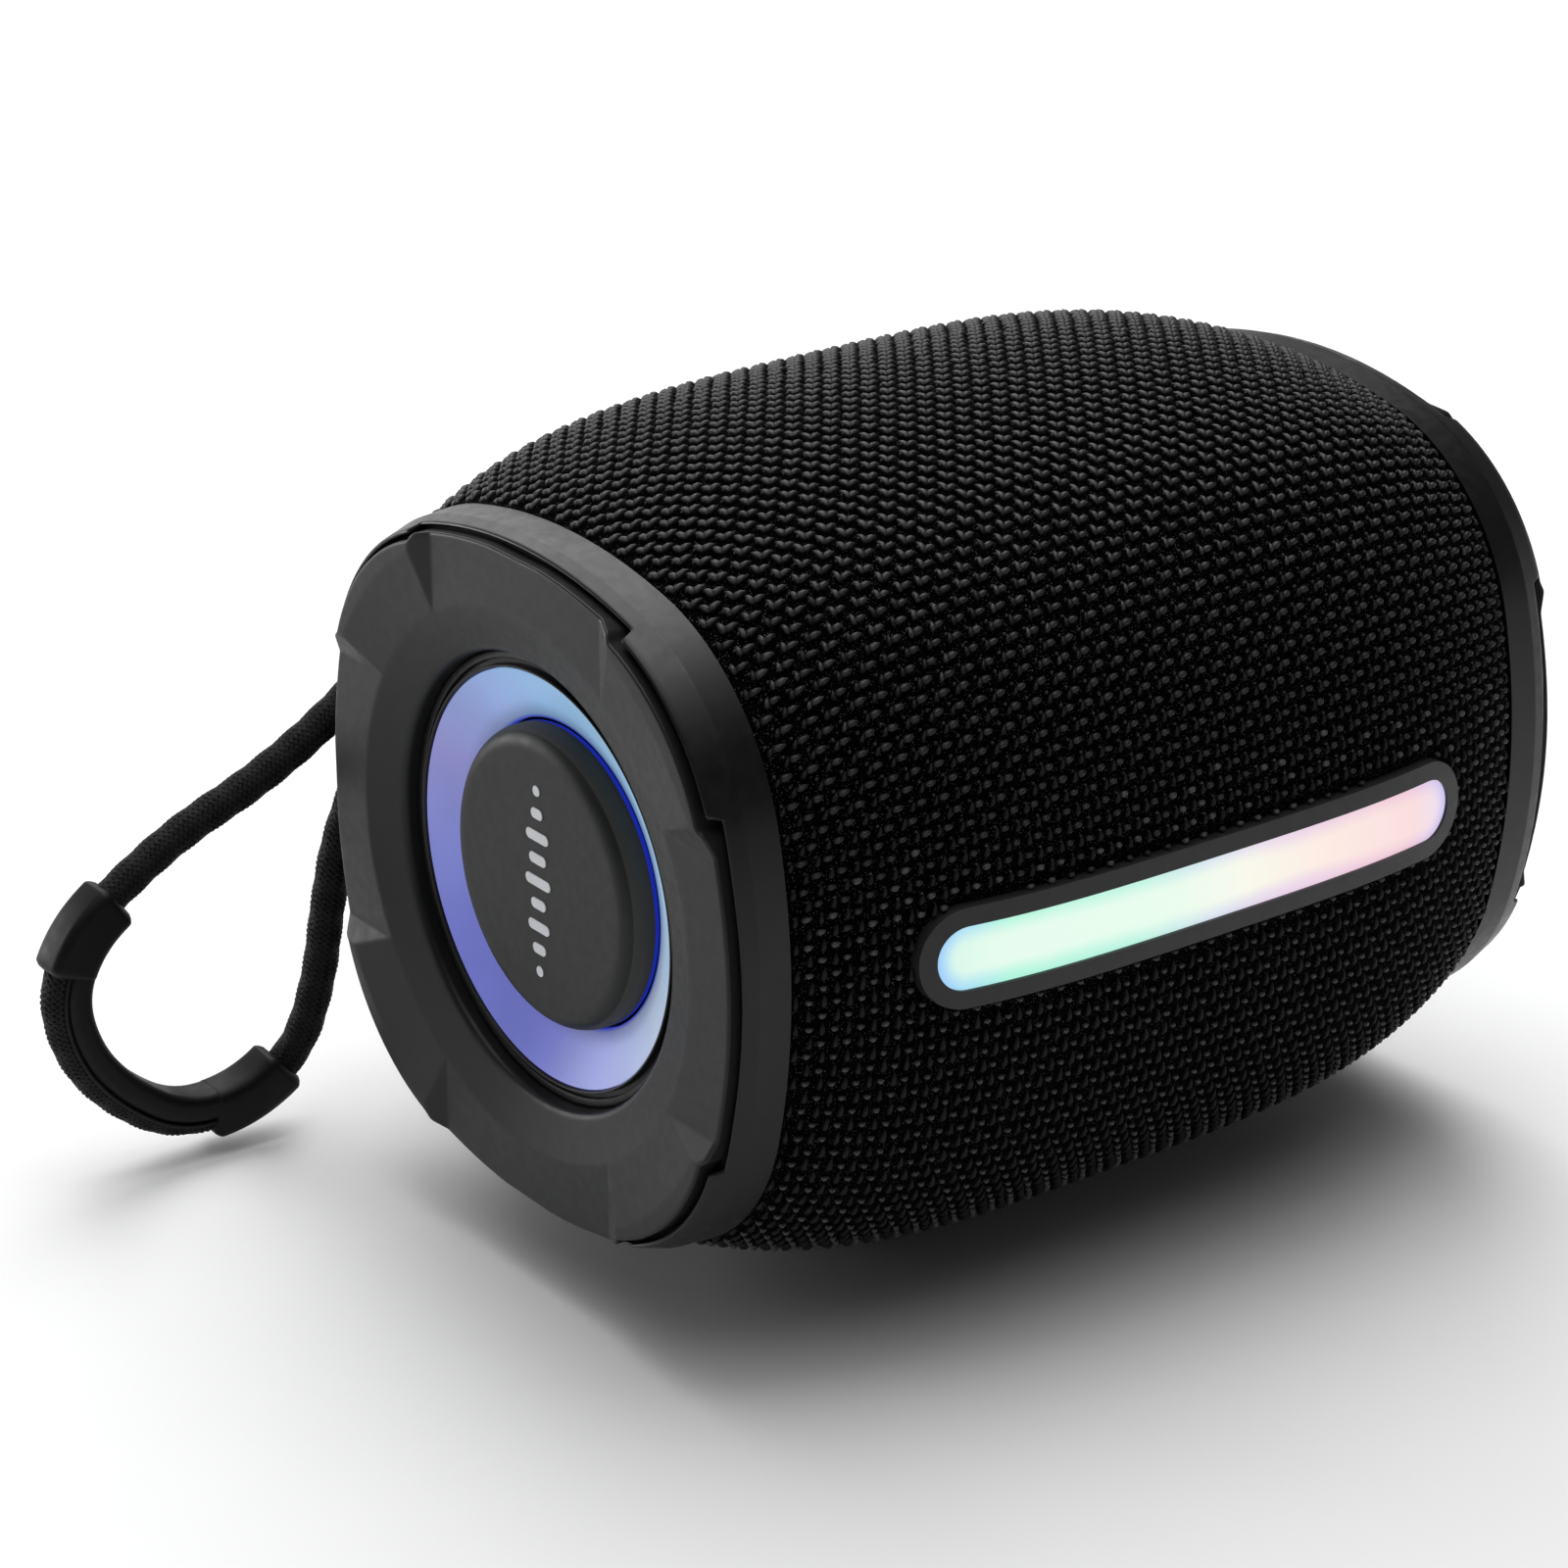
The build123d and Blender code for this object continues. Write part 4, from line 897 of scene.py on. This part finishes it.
ANGLES = 960
TH = np.linspace(0, 2 * math.pi, ANGLES, endpoint=False)
EDGE = bumper_edge(TH)
RIM = 55.45 + 1.5 * ease((from_bar(EDGE + 0.5, TH) - 18.9) / 0.7)
one = np.ones(ANGLES)
for side, s in (("left", -1), ("right", 1)):
    rows = [(51.9 * one, 25.0 * one), (54.4 * one, 25.0 * one), (54.72 * one, 25.06 * one),
            (54.98 * one, 25.2 * one), (55.17 * one, 25.42 * one)]
    for t in np.linspace(0, 1, 44):
        r = 25.75 + t * (EDGE - 0.34 - 25.75)
        rows.append((bumper_height(r, TH), r))
    top = bumper_height(EDGE - 0.34, TH)
    rows += [(top - 0.03, EDGE - 0.20), (top - 0.11, EDGE - 0.07), (top - 0.28, EDGE)]
    # the bumper's rounded outer edge and its wall down into the groove take the second material: painted shade
    painted_shade = dict.fromkeys((len(rows) - 1, len(rows), len(rows) + 1), 1)
    rows += [(top - 0.7, EDGE + 0.0), (54.95 * one, EDGE), (54.9 * one, EDGE - 1.4), (51.9 * one, EDGE - 1.4)]
    obj = turned_mesh(side + "_cap_bumper", rows, painted_shade, (m_bumper, m_groove_painted_shade), s)
    link(obj, "root", None, [side + "_bumper"])

    rows = [(x * one, ring_outer(x * one, TH)) for x in (49.8, 50.0, 51.0, 52.2, 53.0, 53.4, 53.6, 53.8, 54.2)]
    for t in (0.25, 0.5, 0.75, 1.0):
        x = 54.2 + t * (RIM - 0.16 - 54.2)
        rows.append((x, ring_outer(x, TH)))
    lip = ring_outer(RIM - 0.16, TH)
    inner = np.maximum(lip - 0.42, EDGE + 0.45)
    rows += [(RIM - 0.05, lip - 0.10), (RIM, np.maximum(lip - 0.22, inner + 0.08)), (RIM - 0.08, inner + 0.02)]
    # the ring's rim rounding and its inner wall along the groove take the second material: painted shade
    painted_shade = dict.fromkeys(range(len(rows) - 1, len(rows) + 2), 1)
    rows += [(RIM - 0.35, inner), (54.85 * one, inner), (54.8 * one, EDGE - 0.8), (49.8 * one, EDGE - 0.8)]
    obj = turned_mesh(side + "_cap_ring", rows, painted_shade, (m_ring, m_groove_painted_shade), s)
    link(obj, "root", None, [side + "_end_ring"])


# the disc's upper side wall and rounded rim take a lighter albedo than the face: painted light, so they read as bright
# as the face
m_brim_painted_light = moulded("plate_brim_painted_light", (0.0520, 0.0480, 0.0410), 0.60, 0.14, 0.007, 0.06, level=0.2)
# the disc's lower side wall takes a darker albedo and a weak blue emission: painted shade and a painted glow of the lit
# ring's light
m_side_painted_shade_glow = moulded("plate_side_painted_shade_glow", (0.0085, 0.0090, 0.0090), 0.95, 0.14, 0.007, 0.06, level=0.0)
painted_glow_edge = m_side_painted_shade_glow.node_tree.nodes["Principled BSDF"]
painted_glow_edge.inputs["Emission Color"].default_value = (0.02, 0.05, 0.85, 1)
painted_glow_edge.inputs["Emission Strength"].default_value = 0.38
for side, s in (("left", -1), ("right", 1)):
    rows = [(44.6, 0.02), (44.6, 14.0), (46.0, 14.0), (46.0, 9.0), (50.6, 9.0), (50.6, 16.66), (50.7, 16.7), (51.1, 16.7),
            (51.6, 16.7), (52.1, 16.7)]
    for k in range(1, 13):
        a = math.radians(7.5 * k)
        rows.append((52.1 + 2.3 * math.sin(a), 14.4 + 2.3 * math.cos(a)))
    rows += [(54.4, 13.6), (54.4, 10.0), (54.4, 5.0), (54.4, 0.02)]
    flat_one = np.ones(192)
    # rows 5 and 6: the side wall's painted shade and glow; rows 7 to 13: the painted light on the upper wall and rim
    obj = turned_mesh(side + "_plate_face", [(x * flat_one, r * flat_one) for x, r in rows],
                      {5: 1, 6: 1, 7: 2, 8: 2, 9: 2, 10: 2, 11: 2, 12: 2, 13: 2}, (m_plate, m_side_painted_shade_glow, m_brim_painted_light), s)
    link(obj, side + "_radiator", None, [side + "_radiator_plate"])


def dish(count=14):
    """The lit ring's dished face, from its outer edge to the disc."""
    out = []
    for k in range(count + 1):
        t = k / count
        r = 22.85 + (17.0 - 22.85) * t
        out.append((50.7 + 2.9 * (1 - t) ** 1.25, r))
    return out


for side, s in (("left", -1), ("right", 1)):
    fine = np.ones(384)
    rows = [(49.9, 17.0), (49.9, 22.9), (52.0, 22.9), (53.5, 22.9)] + dish()
    obj = turned_mesh(side + "_lit_ring", [(x * fine, r * fine) for x, r in rows], {}, (m_glow,), s)
    link(obj, "root", None, [side + "_light_ring"])
    rows = [(44.0, 23.0), (53.7, 23.0), (53.82, 23.04), (53.9, 23.14), (53.9, 23.22), (53.82, 23.3), (52.9, 23.36),
            (52.9, 23.9), (53.4, 23.96), (53.5, 24.06), (53.5, 24.6), (53.42, 24.74), (53.2, 24.95), (49.8, 24.95),
            (49.8, 29.5), (48.0, 29.5), (48.0, 24.95), (44.0, 24.95)]
    obj = turned_mesh(side + "_collar", [(x * fine, r * fine) for x, r in rows], {}, (m_frame,), s)
    link(obj, "root", None, [side + "_radiator_frame"])

# ------------------------------------------------------------------ marks and key symbols
def plates(name, outlines, place, height, bevel=0.0):
    """Raised flat shapes: outlines in mm in the plane, place(u, v, h) gives the point."""
    verts, faces = [], []
    for outline in outlines:
        n = len(outline)
        base = len(verts)
        cu = sum(p[0] for p in outline) / n
        cv = sum(p[1] for p in outline) / n
        for u, v in outline:
            verts.append(place(u, v, -0.05))
        for u, v in outline:
            verts.append(place(u, v, height - bevel))
        if bevel:
            for u, v in outline:
                du, dv = u - cu, v - cv
                l = max(1e-6, math.hypot(du, dv))
                verts.append(place(u - du / l * bevel, v - dv / l * bevel, height))
        rings = 3 if bevel else 2
        for r in range(rings - 1):
            for j in range(n):
                k = (j + 1) % n
                faces.append((base + r * n + j, base + r * n + k, base + (r + 1) * n + k, base + (r + 1) * n + j))
        faces.append(tuple(base + j for j in range(n))[::-1])
        faces.append(tuple(base + (rings - 1) * n + j for j in range(n)))
    obj = mesh_object(name, verts, faces, smooth=False)
    return obj


def capsule(cx, cy, w, h, seg=10):
    """Outline of a rounded bar, w by h."""
    r = min(w, h) / 2
    pts = []
    for q, (sx, sy) in enumerate(((1, 1), (-1, 1), (-1, -1), (1, -1))):
        for k in range(seg + 1):
            a = math.radians(90 * q + 90 * k / seg)
            pts.append((cx + sx * (w / 2 - r) + r * math.cos(a), cy + sy * (h / 2 - r) + r * math.sin(a)))
    return pts


WAVE = [(-10.4, 1.25), (-7.8, 2.4), (-5.2, 3.9), (-2.6, 2.7), (0.0, 4.6), (2.6, 3.1), (5.2, 4.1), (7.8, 2.1), (10.4, 1.25)]
for side, s in (("left", -1), ("right", 1)):
    bars = [capsule(0.0, at, reach, 1.2) for at, reach in WAVE]

    def on_disc(u, v, h, s=s):
        return ((s * (54.4 + h)) * MM, s * u * MM, AX + v * MM)

    obj = plates(side + "_plate_wave_mark", bars, on_disc, 0.10, 0.03)
    link(obj, side + "_radiator", m_mark)


def arc_band(cx, cy, r, w, a0, a1, seg=28):
    """Outline of a round stroke."""
    pts = [(cx + (r + w / 2) * math.cos(a0 + (a1 - a0) * k / seg), cy + (r + w / 2) * math.sin(a0 + (a1 - a0) * k / seg))
           for k in range(seg + 1)]
    pts += [(cx + (r - w / 2) * math.cos(a1 + (a0 - a1) * k / seg), cy + (r - w / 2) * math.sin(a1 + (a0 - a1) * k / seg))
            for k in range(seg + 1)]
    return pts


def strokes_of_arc(cx, cy, r, w, a0, a1, parts=8):
    """The stroke in short convex pieces."""
    step = (a1 - a0) / parts
    return [arc_band(cx, cy, r, w, a0 + k * step, a0 + (k + 1) * step, 5) for k in range(parts)]


def turn_bar(w, h, angle, cx=0.0, cy=0.0, at=0.0):
    """A rounded bar turned about the symbol's centre."""
    c, n = math.cos(angle), math.sin(angle)
    return [(cx + (x + at) * c - y * n, cy + (x + at) * n + y * c) for x, y in capsule(0, 0, w, h, 5)]


SYMBOLS = {
    "power": strokes_of_arc(0, -0.1, 1.15, 0.32, math.radians(125), math.radians(415), 12) + [capsule(0, 0.75, 0.32, 1.35)],
    "minus": [capsule(0, 0, 2.5, 0.36)],
    "play": [[(-1.45, -1.05), (0.15, 0.0), (-1.45, 1.05)], capsule(0.75, 0, 0.34, 2.1), capsule(1.4, 0, 0.34, 2.1)],
    "plus": [capsule(0, 0, 2.5, 0.36), capsule(0, 0.75, 0.36, 1.0), capsule(0, -0.75, 0.36, 1.0)],
    "mode": strokes_of_arc(0, 0, 0.62, 0.26, 0, 2 * math.pi, 12)
            + [turn_bar(0.62, 0.26, math.radians(45 * k), at=1.32) for k in range(8)],
}
for key, outlines in SYMBOLS.items():
    low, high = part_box(key + "_button")
    kx, top_y = (low[0] + high[0]) / 2 / MM, high[1] / MM

    def on_key(u, v, h, kx=kx, top_y=top_y):
        return ((kx - u) * MM, (top_y + h) * MM, (PANEL_Z + v) * MM)

    link(plates(key + "_key_symbol", outlines, on_key, 0.05), key + "_key", m_icon)


# ------------------------------------------------------------------ stage, lights
floor_me = bpy.data.meshes.new("floor")
floor_me.from_pydata([(-6, -6, 0), (6, -6, 0), (6, 6, 0), (-6, 6, 0)], [], [(0, 1, 2, 3)])
floor = bpy.data.objects.new("floor", floor_me)
scene.collection.objects.link(floor)
m_floor = bpy.data.materials.new("floor_paper")
nt, bsdf = nodes_of(m_floor)
coord = add(nt, "ShaderNodeTexCoord")
paper = add(nt, "ShaderNodeTexNoise", Scale=40.0, Detail=4.0)
nt.links.new(coord.outputs["Object"], paper.inputs["Vector"])
tone = add(nt, "ShaderNodeMix", data_type="RGBA")
tone.inputs["A"].default_value = (0.86, 0.86, 0.86, 1)
tone.inputs["B"].default_value = (0.89, 0.89, 0.89, 1)
nt.links.new(paper.outputs["Fac"], tone.inputs["Factor"])
nt.links.new(tone.outputs["Result"], bsdf.inputs["Base Color"])
bsdf.inputs["Roughness"].default_value = 0.9
bsdf.inputs["Specular IOR Level"].default_value = 0.1
floor_me.materials.append(m_floor)

world = bpy.data.worlds.new("studio")
scene.world = world
world.use_nodes = True
sky = world.node_tree
direction = add(sky, "ShaderNodeTexCoord")
part = add(sky, "ShaderNodeSeparateXYZ")
sky.links.new(direction.outputs["Generated"], part.inputs[0])
dome = add(sky, "ShaderNodeMapRange", interpolation_type="SMOOTHSTEP")
dome.inputs["From Min"].default_value = 0.68
dome.inputs["From Max"].default_value = 0.98
dome.inputs["To Min"].default_value = 0.06
dome.inputs["To Max"].default_value = 1.25
sky.links.new(part.outputs["Z"], dome.inputs["Value"])
haze = add(sky, "ShaderNodeMapRange", interpolation_type="SMOOTHSTEP")
haze.inputs["From Min"].default_value = 0.17
haze.inputs["From Max"].default_value = 0.03
haze.inputs["To Max"].default_value = 0.55
sky.links.new(part.outputs["Z"], haze.inputs["Value"])
sky.nodes["Background"].inputs["Color"].default_value = (1, 1, 1, 1)
sky.links.new(maths(sky, "ADD", dome.outputs["Result"], haze.outputs["Result"]), sky.nodes["Background"].inputs["Strength"])


def area(name, place, target, size, power, colour=(1, 1, 1), size_y=None):
    data = bpy.data.lights.new(name, "AREA")
    data.energy = power
    data.color = colour
    data.size = size
    if size_y:
        data.shape = "RECTANGLE"
        data.size_y = size_y
    obj = bpy.data.objects.new(name, data)
    scene.collection.objects.link(obj)
    obj.location = place
    obj.rotation_euler = (Vector(target) - Vector(place)).to_track_quat("-Z", "Y").to_euler()
    return obj


area("top", (0.24, 0.40, 1.05), (0.05, 0.05, 0.03), 0.80, 13.0, size_y=1.6)
area("back", (0.45, 1.45, 0.62), (0, 0, 0.05), 0.9, 4.0)
area("low_left", (-0.55, 0.95, 0.16), (-0.05, 0, 0.05), 0.45, 5.5)
